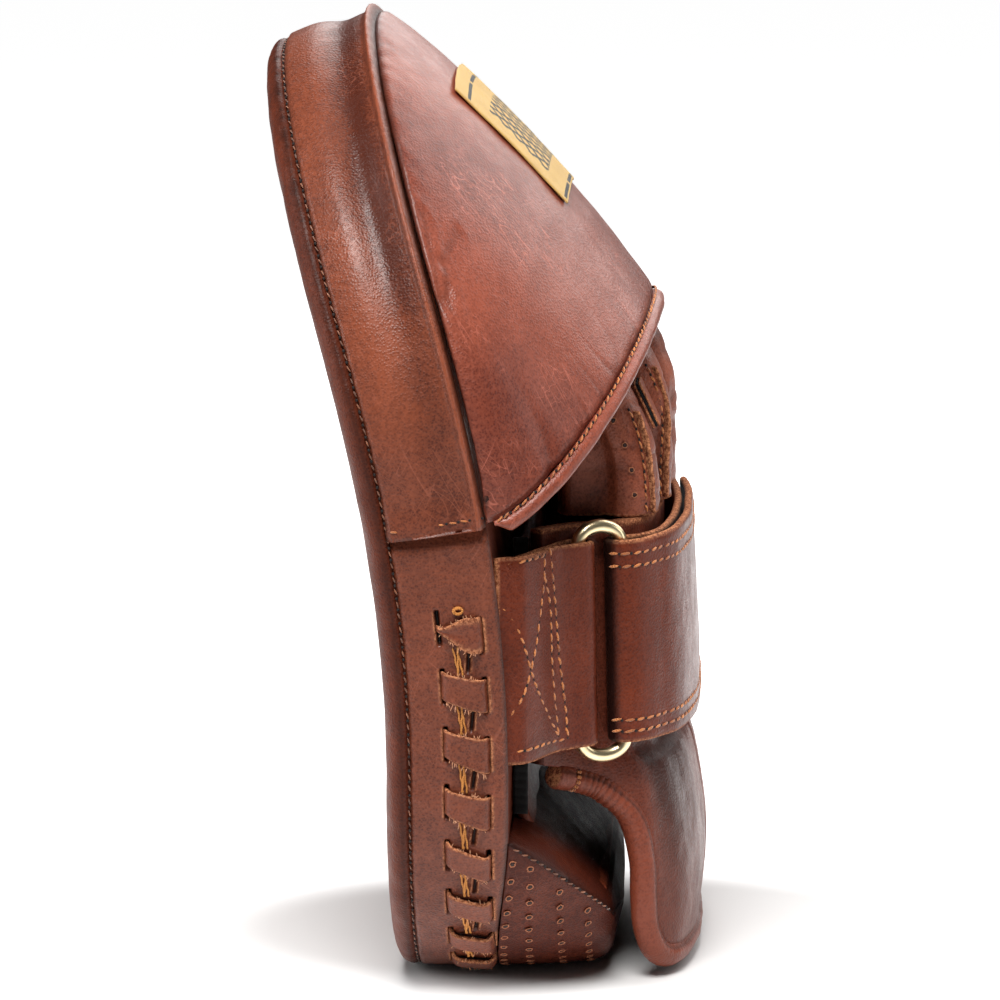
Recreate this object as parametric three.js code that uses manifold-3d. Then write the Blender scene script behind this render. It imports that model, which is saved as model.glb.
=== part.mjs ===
// A leather focus mitt: a curved striking pad with a hollow glove, a finger hood and a wrist strap on its back.
// Millimetres, +Z up. The strike face looks along -Y, the hand side along +Y, and the little finger is on +X.
// The origin is the middle of the flat stretch under the pad, which the mitt stands on.
import * as THREE from 'three';
import { mergeVertices } from 'three/addons/utils/BufferGeometryUtils.js';
import Module from 'manifold-3d';

const wasm = await Module();
wasm.setup();

const CLEAR = 0.3; // gap between pieces that touch
const LEATHER = 2; // leather wall of the pad

// The pad's outline, flattened: a flat foot, two corner arcs, straight sides and a crown arc.
const FOOT_HALF = 30;
const CORNER_R = 62;
const CROWN_R = 98;
const CROWN_RISE = 150; // height of the crown arc's centre
const PAD_STEPS = 64; // stations round the outline

// The slab leans forward above the palm.
const BEND_START = 62;
const BEND_END = 180;
const LEAN = THREE.MathUtils.degToRad(17.2);

const GUSSET_WIDTH = 25.4;
const GUSSET_PUFF = 1.1;
const JOINT_RISE = 126; // where the upper and the lower gusset meet
const FACE_PUFF = 6; // how far the strike face stands in front of its seam
const FACE_ROLL = 20; // width of the rolled border of the strike face
const FACE_DISH = 2.6; // how far its middle sinks back

const LACE = { bars: 8, pitch: 15.2, width: 9.4, reach: 9.8, thick: 1.2, slant: 1.4, across: 2.6, topRise: 100 };

const HOOD_DEPTH = 48.4; // mouth's height above the back panel
const HOOD_WALL = 3;
const HOOD_BULGE = 3.4;
const MOUTH_RISE = 33; // the mouth is higher at its middle by this
const HOOD_SET = 0.4; // the hood's foot lies this far inside the pad's outline
const CORNER_RIB = 6; // length of the hood's blunt corner
const HEM_WIDTH = 4.4;
const HEM_THICK = 4.4;
const LABEL = { width: 54, low: 0.67, high: 0.25, thick: 0.9 };

const STRAP_INSET = 3.7; // the strap's two ends lie this far inside the pad's sides
const STRAP_DEPTH = 43.4; // from the pad's back to the middle of the strap, over the hand
const STRAP_WIDTH = 53;
const STRAP_RISE = 91.5; // height of the strap's middle
const STRAP_THICK = 2.2;
const TAPE_GAP = 0.9; // hook and loop tape between the strap's two layers
const STRAP_LEAN = 0.001; // how much nearer the pad the strap runs for each millimetre of height
const TAB_PAST_MIDDLE = 34; // how far the loose end runs past the middle of the hand
const ANCHOR_RETURN = 8; // where the anchor's inner layer ends, from its start
const RING_OPENING = 12; // the strap's layers open this far before the ring's bar
const RING = { wire: 3.6, width: 12, straight: 51, at: 0.37 }; // width is between the middles of its two bars

const GLOVE_WALL = 4;
const GLOVE_START = 27; // the glove's side wall starts this far along the strap's line
const GLOVE_TOP = 121;
const BINDING_R = 3.5;
const BINDING_START = 0.02; // the roll starts this share of the rim's length from its end
const ELASTIC = { thick: 1.6, low: 47, high: 119 };

const STALL = { wide: 10.6, deep: 8.8, wall: 2, sides: 12 };
const FINGER_REACH = 70;
const STALL_CURL = 61; // how far forward a finger would curl over the whole reach
const TAB = { wide: 9.5, long: 12.5, thick: 2.2, aside: 6.4, rise: 27 };

const BOLSTER_DEPTH = 25.5;
const BOLSTER_HEIGHT = 45;
const PALM_THICK = 3;
const PALM_TOP = 112;

// Where the strap's middle line runs, seen from above: shares of strapSpan and of STRAP_DEPTH.
const STRAP_LINE = [
  { across: 1.02, back: -0.06 },
  { across: 0.93, back: 0.09 },
  { across: 0.8, back: 0.22 },
  { across: 0.7, back: 0.4 },
  { across: 0.665, back: 0.56 },
  { across: 0.62, back: 0.73 },
  { across: 0.52, back: 0.88 },
  { across: 0.3, back: 0.975 },
  { across: 0, back: 1 },
];

// The strike face from its middle to its seam. inset is a share of FACE_ROLL, centre is the share of the way to the
// middle, puff is a share of FACE_PUFF and dish of FACE_DISH.
const FACE_PROFILE = [
  { inset: 1, centre: 1, puff: 1, dish: 1 },
  { inset: 1, centre: 0.7, puff: 1, dish: 0.84 },
  { inset: 1, centre: 0.35, puff: 1, dish: 0.4 },
  { inset: 0.9, centre: 0, puff: 1, dish: 0.04 },
  { inset: 0.5, centre: 0, puff: 0.98, dish: 0 },
  { inset: 0.225, centre: 0, puff: 0.84, dish: 0 },
  { inset: 0.07, centre: 0, puff: 0.55, dish: 0 },
  { inset: 0, centre: 0, puff: 0.18, dish: 0 },
  { inset: 0, centre: 0, puff: 0, dish: 0 },
];

// The glove's back against its shape under the strap: how far it stands off the pad, by share of GLOVE_TOP.
const GLOVE_SWELL = [
  { up: 0, back: 1.08 },
  { up: 0.066, back: 1.13 },
  { up: 0.231, back: 1.2 },
  { up: 0.38, back: 1.17 },
  { up: 0.471, back: 1.11 },
  { up: 0.52, back: 1 },
  { up: 1.1, back: 1 },
];

// The near half of the wrist rim: share of the way round the glove to its middle, and share of the notch's height.
const WRIST_RIM = [
  { round: 0, up: 1 },
  { round: 0.1, up: 0.95 },
  { round: 0.19, up: 0.86 },
  { round: 0.26, up: 0.7 },
  { round: 0.292, up: 0.5 },
  { round: 0.3, up: 0.3 },
  { round: 0.325, up: 0.13 },
  { round: 0.38, up: 0.03 },
  { round: 0.5, up: 0 },
  { round: 0.75, up: 0 },
  { round: 1, up: 0 },
];
const NOTCH_RISE = 60;

// Each stall at its foot: x as a share of strapSpan and back as a share of STRAP_DEPTH. splay to the side is a share
// of the stall's half width; straight, before it curls forward, and its tip are shares of FINGER_REACH.
const STALLS = [
  { name: 'little_finger_stall', x: 0.414, back: 0.839, splay: 0.09, straight: 0.114, tip: 0.643 },
  { name: 'ring_finger_stall', x: 0.16, back: 0.912, splay: 0, straight: 0.257, tip: 0.843 },
  { name: 'middle_finger_stall', x: -0.094, back: 0.926, splay: 0, straight: 0.314, tip: 0.914 },
  { name: 'index_finger_stall', x: -0.348, back: 0.871, splay: -0.09, straight: 0.257, tip: 0.8 },
  { name: 'thumb_stall', x: -0.591, back: 0.599, splay: -0.47, straight: 0.086, tip: 0.371 },
];

// The heel cushion in sections going away from the pad: shares of its depth, of the pad's width and of its height.
const BOLSTER_SECTIONS = [
  { out: 0, wide: 0.985, top: 1, lift: 0 },
  { out: 0.3, wide: 0.95, top: 0.87, lift: 0 },
  { out: 0.58, wide: 0.9, top: 0.72, lift: 0 },
  { out: 0.82, wide: 0.84, top: 0.58, lift: 0.005 },
  { out: 0.95, wide: 0.78, top: 0.48, lift: 0.04 },
  { out: 1, wide: 0.71, top: 0.38, lift: 0.12 },
];

const FACE_SEAM = -GUSSET_WIDTH / 2;
const BACK_FACE = GUSSET_WIDTH / 2;
const SEAT = BACK_FACE + CLEAR; // what is sewn to the pad's back starts here

const lerp = THREE.MathUtils.lerp;
const spread = (from, to, cells) => Array.from({ length: cells + 1 }, (_, i) => lerp(from, to, i / cells));

const leatherLook = new THREE.MeshStandardMaterial({ color: '#7a4233', roughness: 0.42, metalness: 0 });
const gussetLook = new THREE.MeshStandardMaterial({ color: '#824936', roughness: 0.46, metalness: 0 });
const hoodLook = new THREE.MeshStandardMaterial({ color: '#8a4c3b', roughness: 0.38, metalness: 0 });
const strapLook = new THREE.MeshStandardMaterial({ color: '#6b382c', roughness: 0.34, metalness: 0 });
const brassLook = new THREE.MeshStandardMaterial({ color: '#e3c27a', roughness: 0.2, metalness: 1 });
const labelLook = new THREE.MeshStandardMaterial({ color: '#e6c25e', roughness: 0.8, metalness: 0 });
const elasticLook = new THREE.MeshStandardMaterial({ color: '#1a1819', roughness: 0.9, metalness: 0 });
const foamLook = new THREE.MeshStandardMaterial({ color: '#3a3a3c', roughness: 0.95, metalness: 0 });

const mitt = new THREE.Group();

function add(name, geometry, look) {
  const mesh = new THREE.Mesh(geometry, look);
  mesh.name = name;
  mitt.add(mesh);
  return mesh;
}

// The value of one column of a table at a place given in another, with straight runs between the rows.
function fromTable(rows, place, value, at) {
  const last = rows.length - 1;
  const i = Math.min(last - 1, Math.max(0, rows.findIndex((row) => row[place] >= at) - 1));
  const run = rows[i + 1][place] - rows[i][place];
  const share = THREE.MathUtils.clamp((at - rows[i][place]) / run, 0, 1);
  return lerp(rows[i][value], rows[i + 1][value], share);
}

// Triangles as a closed geometry: flat ones are dropped, and all are turned over if the solid is inside out.
function closedGeometry(triangles) {
  const kept = triangles.filter(([a, b, c]) => {
    const flat = [[a, b], [b, c], [c, a]].some(([one, two]) => one.distanceToSquared(two) < 1e-10);
    return !flat;
  });
  const volume = kept.reduce((sum, [a, b, c]) => sum + a.dot(b.clone().cross(c)), 0);
  const facing = volume < 0 ? kept.map(([a, b, c]) => [a, c, b]) : kept;
  const positions = facing.flat().flatMap((p) => [p.x, p.y, p.z]);
  const loose = new THREE.BufferGeometry();
  loose.setAttribute('position', new THREE.Float32BufferAttribute(positions, 3));
  const merged = mergeVertices(loose, 1e-4);
  merged.computeVertexNormals();
  return merged;
}

// The two triangles of every cell between neighbouring rows of points. Each row closes on itself when asked.
function gridTriangles(rows, closed) {
  const triangles = [];
  for (let i = 0; i + 1 < rows.length; i += 1) {
    const count = rows[i].length;
    const cells = closed ? count : count - 1;
    for (let j = 0; j < cells; j += 1) {
      const k = (j + 1) % count;
      triangles.push([rows[i][j], rows[i + 1][j], rows[i + 1][k]]);
      triangles.push([rows[i][j], rows[i + 1][k], rows[i][k]]);
    }
  }
  return triangles;
}

// A wall between an outer and an inner grid of points, closed along all four edges.
function wallSolid(outer, inner) {
  const loops = outer.map((row, i) => [...row, ...inner[i].slice().reverse()]);
  const ends = [loops[0], loops[loops.length - 1]].map((loop, end) => {
    const half = loop.length / 2;
    const strip = [loop.slice(0, half), loop.slice(half).reverse()];
    return gridTriangles(end ? strip : strip.reverse(), false);
  });
  return closedGeometry([...gridTriangles(loops, true), ...ends.flat()]);
}

// Closed sections lofted in a row, with both ends capped. The first section gives the caps' triangles.
function loftSolid(sections, flatSection) {
  const faces = THREE.ShapeUtils.triangulateShape(flatSection, []);
  const first = sections[0];
  const last = sections[sections.length - 1];
  const clockwise = THREE.ShapeUtils.isClockWise(flatSection);
  const caps = faces.flatMap(([a, b, c]) => [
    [first[a], first[b], first[c]],
    [last[a], last[c], last[b]],
  ]);
  const around = gridTriangles(sections, true);
  const turned = clockwise ? around.map(([a, b, c]) => [a, c, b]) : around;
  return closedGeometry([...turned, ...caps]);
}

function manifoldOf(geometry) {
  const bare = new THREE.BufferGeometry();
  bare.setAttribute('position', geometry.getAttribute('position'));
  bare.setIndex(geometry.getIndex());
  const merged = mergeVertices(bare, 1e-4);
  const mesh = new wasm.Mesh({
    numProp: 3,
    vertProperties: merged.getAttribute('position').array,
    triVerts: new Uint32Array(merged.getIndex().array),
  });
  return new wasm.Manifold(mesh);
}

function geometryOf(solid) {
  const mesh = solid.getMesh();
  const geometry = new THREE.BufferGeometry();
  geometry.setAttribute('position', new THREE.BufferAttribute(new Float32Array(mesh.vertProperties), 3));
  geometry.setIndex(new THREE.BufferAttribute(new Uint32Array(mesh.triVerts), 1));
  geometry.computeVertexNormals();
  return geometry;
}

// The outline's parts. The side is the outer line that touches the corner arc and the crown arc.
const arcGap = Math.hypot(FOOT_HALF, CROWN_RISE - CORNER_R);
const arcLine = Math.atan2(CORNER_R - CROWN_RISE, FOOT_HALF);
const SIDE_ANGLE = arcLine + Math.acos((CROWN_R - CORNER_R) / arcGap);
const CORNER_RUN = CORNER_R * (SIDE_ANGLE + Math.PI / 2);
const SIDE_RUN = Math.sqrt(arcGap ** 2 - (CROWN_R - CORNER_R) ** 2);
const CROWN_RUN = CROWN_R * (Math.PI / 2 - SIDE_ANGLE);
const HALF_ROUND = FOOT_HALF + CORNER_RUN + SIDE_RUN + CROWN_RUN;
const SIDE_FOOT = CORNER_R * (1 + Math.sin(SIDE_ANGLE));

// A station on the outline, by its distance from the middle of the foot, with the outward direction there.
function outlineAt(distance) {
  const round = THREE.MathUtils.euclideanModulo(distance, 2 * HALF_ROUND);
  const side = round > HALF_ROUND ? -1 : 1;
  let left = side < 0 ? 2 * HALF_ROUND - round : round;
  let angle = -Math.PI / 2;
  let x = left;
  let s = 0;
  if (left > FOOT_HALF) {
    left -= FOOT_HALF;
    angle = Math.min(angle + left / CORNER_R, SIDE_ANGLE);
    x = FOOT_HALF + CORNER_R * Math.cos(angle);
    s = CORNER_R + CORNER_R * Math.sin(angle);
    left -= CORNER_RUN;
  }
  if (left > 0 && s > 0) {
    const along = Math.min(left, SIDE_RUN);
    x -= along * Math.sin(angle);
    s += along * Math.cos(angle);
    left -= SIDE_RUN;
    if (left > 0) {
      angle = SIDE_ANGLE + left / CROWN_R;
      x = CROWN_R * Math.cos(angle);
      s = CROWN_RISE + CROWN_R * Math.sin(angle);
    }
  }
  return { x: side * x, s, nx: side * Math.cos(angle), ns: Math.sin(angle) };
}

// The outline's distance from the foot to a height on the straight side.
const alongSide = (rise) => FOOT_HALF + CORNER_RUN + (rise - SIDE_FOOT) / Math.cos(SIDE_ANGLE);
const strapSpan = outlineAt(alongSide(STRAP_RISE)).x - STRAP_INSET;
const JOINT_AT = alongSide(JOINT_RISE);

// The bent slab: x across, s along its length and t through its thickness, towards the hand.
const BEND_R = (BEND_END - BEND_START) / LEAN;
function bent(x, s, t) {
  const turn = THREE.MathUtils.clamp((s - BEND_START) / BEND_R, 0, LEAN);
  const past = Math.max(0, s - BEND_END);
  const y = -BEND_R * (1 - Math.cos(turn)) - past * Math.sin(LEAN);
  const z = Math.min(s, BEND_START) + BEND_R * Math.sin(turn) + past * Math.cos(LEAN);
  return new THREE.Vector3(x, y + t * Math.cos(turn), z + t * Math.sin(turn));
}

const onOutline = (distance, inset, t) => {
  const at = outlineAt(distance);
  return bent(at.x - inset * at.nx, at.s - inset * at.ns, t);
};

// A closed solid whose rows are rings round the outline, from the middle of one face to the middle of the other.
const MIDDLE_RISE = (CROWN_RISE + CROWN_R) / 2;
function discSolid(rows) {
  const rings = rows.map(({ inset, centre, t }) =>
    Array.from({ length: PAD_STEPS }, (_, k) => {
      const at = outlineAt((2 * HALF_ROUND * k) / PAD_STEPS);
      const x = lerp(at.x - inset * at.nx, 0, centre);
      const s = lerp(at.s - inset * at.ns, MIDDLE_RISE, centre);
      return bent(x, s, t);
    }),
  );
  return closedGeometry(gridTriangles(rings, true));
}

// A strip that follows the outline between two distances. Its section holds [inset, t] corners.
function stripSolid(from, to, section, step) {
  const steps = Math.max(1, Math.round((to - from) / step));
  const sections = Array.from({ length: steps + 1 }, (_, k) => {
    const distance = lerp(from, to, k / steps);
    return section.map(([inset, t]) => onOutline(distance, inset, t));
  });
  return loftSolid(sections, section.map(([inset, t]) => new THREE.Vector2(inset, t)));
}

const PAD_STEP = (2 * HALF_ROUND) / PAD_STEPS;

function faceRows(back, extraInset) {
  return FACE_PROFILE.map(({ inset, centre, puff, dish }) => ({
    inset: inset * FACE_ROLL + extraInset,
    centre,
    t: Math.min(FACE_SEAM, FACE_SEAM - puff * FACE_PUFF + dish * FACE_DISH + back),
  }));
}

const coarse = (_, i) => i % 2 === 0;

function makeStrikePanel() {
  const outside = faceRows(0, 0);
  const inside = faceRows(LEATHER, LEATHER).filter(coarse).reverse();
  return discSolid([...outside, ...inside]);
}

function makePadCore() {
  const wall = LEATHER + CLEAR;
  const front = faceRows(wall, wall).filter(coarse);
  const backT = BACK_FACE - LEATHER - CLEAR;
  const back = [0, 1].map((centre) => ({ inset: wall, centre, t: backT }));
  const core = manifoldOf(discSolid([...front, ...back]));
  const grooveHalf = LACE.reach / 2 + LACE.thick + CLEAR;
  const depth = wall + LACE.thick + 3 * CLEAR;
  const groove = [
    [-wall, LACE.across - grooveHalf],
    [depth, LACE.across - grooveHalf],
    [depth, LACE.across + grooveHalf],
    [-wall, LACE.across + grooveHalf],
  ];
  const ends = [barPlace(LACE.bars - 1) - LACE.width, barPlace(0) + LACE.width];
  return geometryOf(core.subtract(manifoldOf(stripSolid(...ends, groove, PAD_STEP / 2))));
}

function makeBackPanel() {
  const wall = LEATHER + CLEAR;
  const front = BACK_FACE - LEATHER;
  return discSolid([
    { inset: wall, centre: 1, t: front },
    { inset: wall, centre: 0, t: front },
    { inset: wall, centre: 0, t: BACK_FACE },
    { inset: wall, centre: 1, t: BACK_FACE },
  ]);
}

function gussetSection(puff) {
  const front = FACE_SEAM + CLEAR;
  const shares = [0, 0.12, 0.5, 0.88, 1];
  const outer = shares.map((share) => [-puff * Math.sin(Math.PI * share), lerp(front, BACK_FACE, share)]);
  return [...outer, [LEATHER, BACK_FACE], [LEATHER, front]];
}

// The lace crosses over the gusset in slanting bars and runs back under it to the next slit.
const barPlace = (bar) => alongSide(LACE.topRise) - bar * LACE.pitch;

function makeLowerGusset() {
  const band = stripSolid(-JOINT_AT + CLEAR, JOINT_AT - CLEAR, gussetSection(0), PAD_STEP * 0.8);
  const half = LACE.thick / 2 + CLEAR;
  let cut = manifoldOf(band);
  for (let bar = 0; bar < LACE.bars; bar += 1) {
    for (const side of [-1, 1]) {
      const t = LACE.across + (side * LACE.reach) / 2;
      const slit = [[-LEATHER, t - half], [2 * LEATHER, t - half], [2 * LEATHER, t + half], [-LEATHER, t + half]];
      const middle = barPlace(bar) - side * LACE.slant;
      const reach = LACE.width / 2 + CLEAR;
      cut = cut.subtract(manifoldOf(stripSolid(middle - reach, middle + reach, slit, reach)));
    }
  }
  return geometryOf(cut);
}

function makeLace() {
  const over = -(CLEAR + LACE.thick / 2);
  const under = LEATHER + CLEAR + LACE.thick / 2;
  const edge = LACE.reach / 2;
  const soft = LACE.thick * 0.5;
  const line = [];
  for (let bar = 0; bar < LACE.bars; bar += 1) {
    const place = barPlace(bar);
    const nextPlace = barPlace(bar + 1);
    line.push({ inset: over + soft, t: -edge, at: place + LACE.slant });
    line.push({ inset: over, t: -edge + soft, at: place + LACE.slant });
    line.push({ inset: over, t: edge - soft, at: place - LACE.slant });
    line.push({ inset: over + soft, t: edge, at: place - LACE.slant });
    if (bar + 1 < LACE.bars) {
      line.push({ inset: under - soft, t: edge, at: place - LACE.slant });
      line.push({ inset: under, t: edge - soft, at: place - LACE.slant });
      line.push({ inset: under, t: -edge + soft, at: nextPlace + LACE.slant });
      line.push({ inset: under - soft, t: -edge, at: nextPlace + LACE.slant });
    } else {
      line.push({ inset: LEATHER * 0.9, t: edge, at: place - LACE.slant });
    }
  }
  line.unshift({ inset: LEATHER * 0.9, t: -edge, at: barPlace(0) + LACE.slant });
  const across = [-1, -0.33, 0.33, 1].map((share) => (share * LACE.width) / 2);
  const sections = line.map((point, i) => {
    const before = line[Math.max(0, i - 1)];
    const after = line[Math.min(line.length - 1, i + 1)];
    const one = new THREE.Vector2(point.inset - before.inset, point.t - before.t).normalize();
    const two = new THREE.Vector2(after.inset - point.inset, after.t - point.t).normalize();
    const way = one.clone().add(two).normalize();
    const stretch = LACE.thick / 2 / Math.max(0.5, way.dot(one.length() ? one : two));
    const normal = new THREE.Vector2(way.y, -way.x).multiplyScalar(stretch);
    const layer = (side) => (reach) =>
      onOutline(point.at + reach, point.inset + side * normal.x, LACE.across + point.t + side * normal.y);
    return [...across.map(layer(1)), ...across.slice().reverse().map(layer(-1))];
  });
  const flat = [
    ...across.map((reach) => new THREE.Vector2(reach, 1)),
    ...across.slice().reverse().map((reach) => new THREE.Vector2(reach, -1)),
  ];
  return loftSolid(sections, flat);
}

// The hood in the slab's own flat space: ribs from the pad's edge to the mouth, each with a bulge over its chord.
function hoodPoint(across, down) {
  const at = outlineAt(lerp(JOINT_AT + CORNER_RIB, 2 * HALF_ROUND - JOINT_AT - CORNER_RIB, across));
  const foot = new THREE.Vector3(at.x - HOOD_SET * at.nx, at.s - HOOD_SET * at.ns, SEAT);
  const angle = Math.PI * across;
  const corner = outlineAt(JOINT_AT);
  const height = Math.sin(angle);
  const mouth = new THREE.Vector3(
    (corner.x - HOOD_SET) * Math.cos(angle),
    corner.s + MOUTH_RISE * height ** 1.4,
    SEAT + HOOD_DEPTH * height,
  );
  const chord = mouth.clone().sub(foot).normalize();
  const outward = new THREE.Vector3(at.nx, at.ns, 1);
  const side = outward.addScaledVector(chord, -outward.dot(chord)).normalize();
  const swell = HOOD_BULGE * Math.sqrt(height) * ((down ** 0.7 * (1 - down) ** 1.3) / 0.271);
  return foot.lerp(mouth, down).addScaledVector(side, swell);
}

function hoodFrame(across, down) {
  const step = 1e-3;
  const left = hoodPoint(Math.max(0, across - step), down);
  const right = hoodPoint(Math.min(1, across + step), down);
  const up = hoodPoint(across, Math.max(0, down - step));
  const low = hoodPoint(across, Math.min(1, down + step));
  const rib = low.sub(up).normalize();
  const round = right.sub(left);
  const normal = rib.clone().cross(round).normalize();
  return { rib, normal };
}

// A point off the hood's outer face by a depth, never lower than what the hood is sewn to.
function offHood(across, down, depth, along = 0) {
  const { rib, normal } = hoodFrame(across, down);
  const p = hoodPoint(across, down).addScaledVector(normal, depth).addScaledVector(rib, along);
  return bent(p.x, p.y, Math.max(p.z, SEAT));
}

const hoodOutward = Math.sign(hoodFrame(0.5, 0.5).normal.z);
const HOOD_RIBS = 24;
const HOOD_DOWN = [0, 0.06, 0.18, 0.34, 0.52, 0.7, 0.86, 1];

function makeHood() {
  const layer = (depth) =>
    Array.from({ length: HOOD_RIBS + 1 }, (_, i) =>
      HOOD_DOWN.map((down) => offHood(i / HOOD_RIBS, down, hoodOutward * depth)),
    );
  return wallSolid(layer(0), layer(-HOOD_WALL));
}

function makeHoodHem() {
  const middle = -HOOD_WALL / 2;
  const half = HEM_THICK / 2;
  const section = [
    { along: 0, high: 0.75 },
    { along: 0.3, high: 1 },
    { along: 0.8, high: 0.75 },
    { along: 1, high: 0 },
    { along: 0.8, high: -0.75 },
    { along: 0.3, high: -1 },
    { along: 0, high: -0.75 },
  ].map(({ along, high }) => [CLEAR + along * HEM_WIDTH, middle + high * half]);
  const sections = Array.from({ length: HOOD_RIBS + 5 }, (_, i) => {
    const across = lerp(0.012, 0.988, i / (HOOD_RIBS + 4));
    return section.map(([along, depth]) => offHood(across, 1, hoodOutward * depth, along));
  });
  return loftSolid(sections, section.map(([along, depth]) => new THREE.Vector2(along, depth)));
}

function makeHoodLabel() {
  const run = 2 * (HALF_ROUND - JOINT_AT - CORNER_RIB);
  const half = LABEL.width / 2 / run;
  const layer = (depth) =>
    spread(0.5 - half, 0.5 + half, 8).map((across) =>
      spread(LABEL.high, LABEL.low, 6).map((down) => offHood(across, down, hoodOutward * depth)),
    );
  return wallSolid(layer(CLEAR + LABEL.thick), layer(CLEAR));
}

// The strap's middle line from its near end round the hand to its far end, seen from above.
const strapPoints = STRAP_LINE.map(
  ({ across, back }) => new THREE.Vector3(across * strapSpan, SEAT + back * STRAP_DEPTH, 0),
);
const farPoints = strapPoints.slice(0, -1).reverse().map((p) => new THREE.Vector3(-p.x, p.y, 0));
const strapLine = new THREE.CatmullRomCurve3([...strapPoints, ...farPoints], false, 'centripetal');
strapLine.arcLengthDivisions = 800;
const STRAP_RUN = strapLine.getLength();
const RING_AT = RING.at * (STRAP_RUN / 2);

// A point beside the strap's middle line. A positive offset is away from the hand.
function besideStrap(distance, offset) {
  const share = THREE.MathUtils.clamp(distance / STRAP_RUN, 0, 1);
  const p = strapLine.getPointAt(share);
  const way = strapLine.getTangentAt(share);
  return new THREE.Vector2(p.x + way.y * offset, p.y - way.x * offset);
}

// The strap, its ring and the glove all lean: their distance from the pad's back is less higher up.
const leanShare = (up) => 1 - STRAP_LEAN * (up - STRAP_RISE);
function leaned(solid) {
  const position = solid.getAttribute('position');
  for (let i = 0; i < position.count; i += 1) {
    position.setY(i, SEAT + (position.getY(i) - SEAT) * leanShare(position.getZ(i)));
  }
  solid.computeVertexNormals();
  return solid;
}

// The strap's two layers lie close together and open round the ring's bars.
const BAR_OFFSET = RING.wire / 2 + CLEAR + STRAP_THICK / 2;
function layerOffset(distance, bar, close) {
  const far = Math.min(1, Math.abs(distance - bar) / RING_OPENING);
  return lerp(BAR_OFFSET, close, far * far * (3 - 2 * far));
}

function bandShape(line) {
  const half = STRAP_THICK / 2;
  const sides = [1, -1].map((side) =>
    line.map((p, i) => {
      const before = line[Math.max(0, i - 1)];
      const after = line[Math.min(line.length - 1, i + 1)];
      const way = after.clone().sub(before).normalize();
      return new THREE.Vector2(p.x - side * half * way.y, Math.max(SEAT, p.y + side * half * way.x));
    }),
  );
  return new THREE.Shape([...sides[0], ...sides[1].reverse()]);
}

function strapSolid(line) {
  const solid = new THREE.ExtrudeGeometry(bandShape(line), { depth: STRAP_WIDTH, bevelEnabled: false, steps: 1 });
  solid.translate(0, 0, STRAP_RISE - STRAP_WIDTH / 2);
  return leaned(solid);
}

const stations = (from, to, step) => spread(from, to, Math.max(1, Math.round(Math.abs(to - from) / step)));

// The turn round a ring's bar, from the outer layer to the inner one. side is +1 to turn towards the strap's far end.
function turnRound(bar, side) {
  const middle = besideStrap(bar, 0);
  const outward = besideStrap(bar, 1).sub(middle);
  const onward = new THREE.Vector2(-outward.y, outward.x).multiplyScalar(side);
  const ahead = besideStrap(bar + 1, 0).sub(middle);
  if (ahead.dot(onward) * side < 0) onward.negate();
  return [30, 60, 90, 120, 150].map((degrees) => {
    const angle = THREE.MathUtils.degToRad(degrees);
    return middle
      .clone()
      .addScaledVector(outward, BAR_OFFSET * Math.cos(angle))
      .addScaledVector(onward, BAR_OFFSET * Math.sin(angle));
  });
}

function makeAnchorStrap() {
  const bar = RING_AT - RING.width / 2;
  const close = STRAP_THICK / 2 + CLEAR / 2;
  const outer = stations(0, bar, 3).map((d) => besideStrap(d, layerOffset(d, bar, close)));
  const inner = stations(bar, ANCHOR_RETURN, 3).map((d) => besideStrap(d, -layerOffset(d, bar, close)));
  return strapSolid([...outer, ...turnRound(bar, 1), ...inner]);
}

function makeClosureStrap() {
  const bar = RING_AT + RING.width / 2;
  const close = (STRAP_THICK + TAPE_GAP) / 2;
  const tabEnd = STRAP_RUN / 2 + TAB_PAST_MIDDLE;
  const outer = stations(tabEnd, bar, 5).map((d) => besideStrap(d, layerOffset(d, bar, close)));
  const inner = stations(bar, STRAP_RUN, 5).map((d) => besideStrap(d, -layerOffset(d, bar, close)));
  return strapSolid([...outer, ...turnRound(bar, -1), ...inner]);
}

// The brass ring: two straight bars joined by half rounds, its wire round all the way.
function makeRing() {
  const nearBar = besideStrap(RING_AT - RING.width / 2, 0);
  const farBar = besideStrap(RING_AT + RING.width / 2, 0);
  const middle = nearBar.clone().lerp(farBar, 0.5);
  const onward = farBar.sub(nearBar);
  const half = onward.length() / 2;
  onward.normalize();
  const outward = new THREE.Vector2(onward.y, -onward.x);
  const straight = RING.straight / 2;
  const line = [];
  for (const end of [1, -1]) {
    for (const degrees of [0, 30, 60, 90, 120, 150, 180]) {
      const angle = THREE.MathUtils.degToRad(degrees);
      const along = end * half * Math.cos(angle);
      const up = end * (straight + half * Math.sin(angle));
      line.push({ along, up, way: end < 0 ? angle + Math.PI : angle });
    }
  }
  const sides = 10;
  const rings = line.map(({ along, up, way }) =>
    Array.from({ length: sides }, (_, k) => {
      const angle = (2 * Math.PI * k) / sides;
      const inPlane = (RING.wire / 2) * Math.cos(angle);
      const off = (RING.wire / 2) * Math.sin(angle);
      const place = along + inPlane * Math.cos(way);
      return new THREE.Vector3(
        middle.x + onward.x * place + outward.x * off,
        middle.y + onward.y * place + outward.y * off,
        STRAP_RISE + up + inPlane * Math.sin(way),
      );
    }),
  );
  return leaned(closedGeometry(gridTriangles([...rings, rings[0]], true)));
}

// The glove's outer face lies just inside the strap, and swells away from the pad below it.
const GLOVE_OFFSET = BAR_OFFSET + STRAP_THICK / 2 + 2 * CLEAR;
const GLOVE_RUN = STRAP_RUN - 2 * GLOVE_START;

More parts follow.
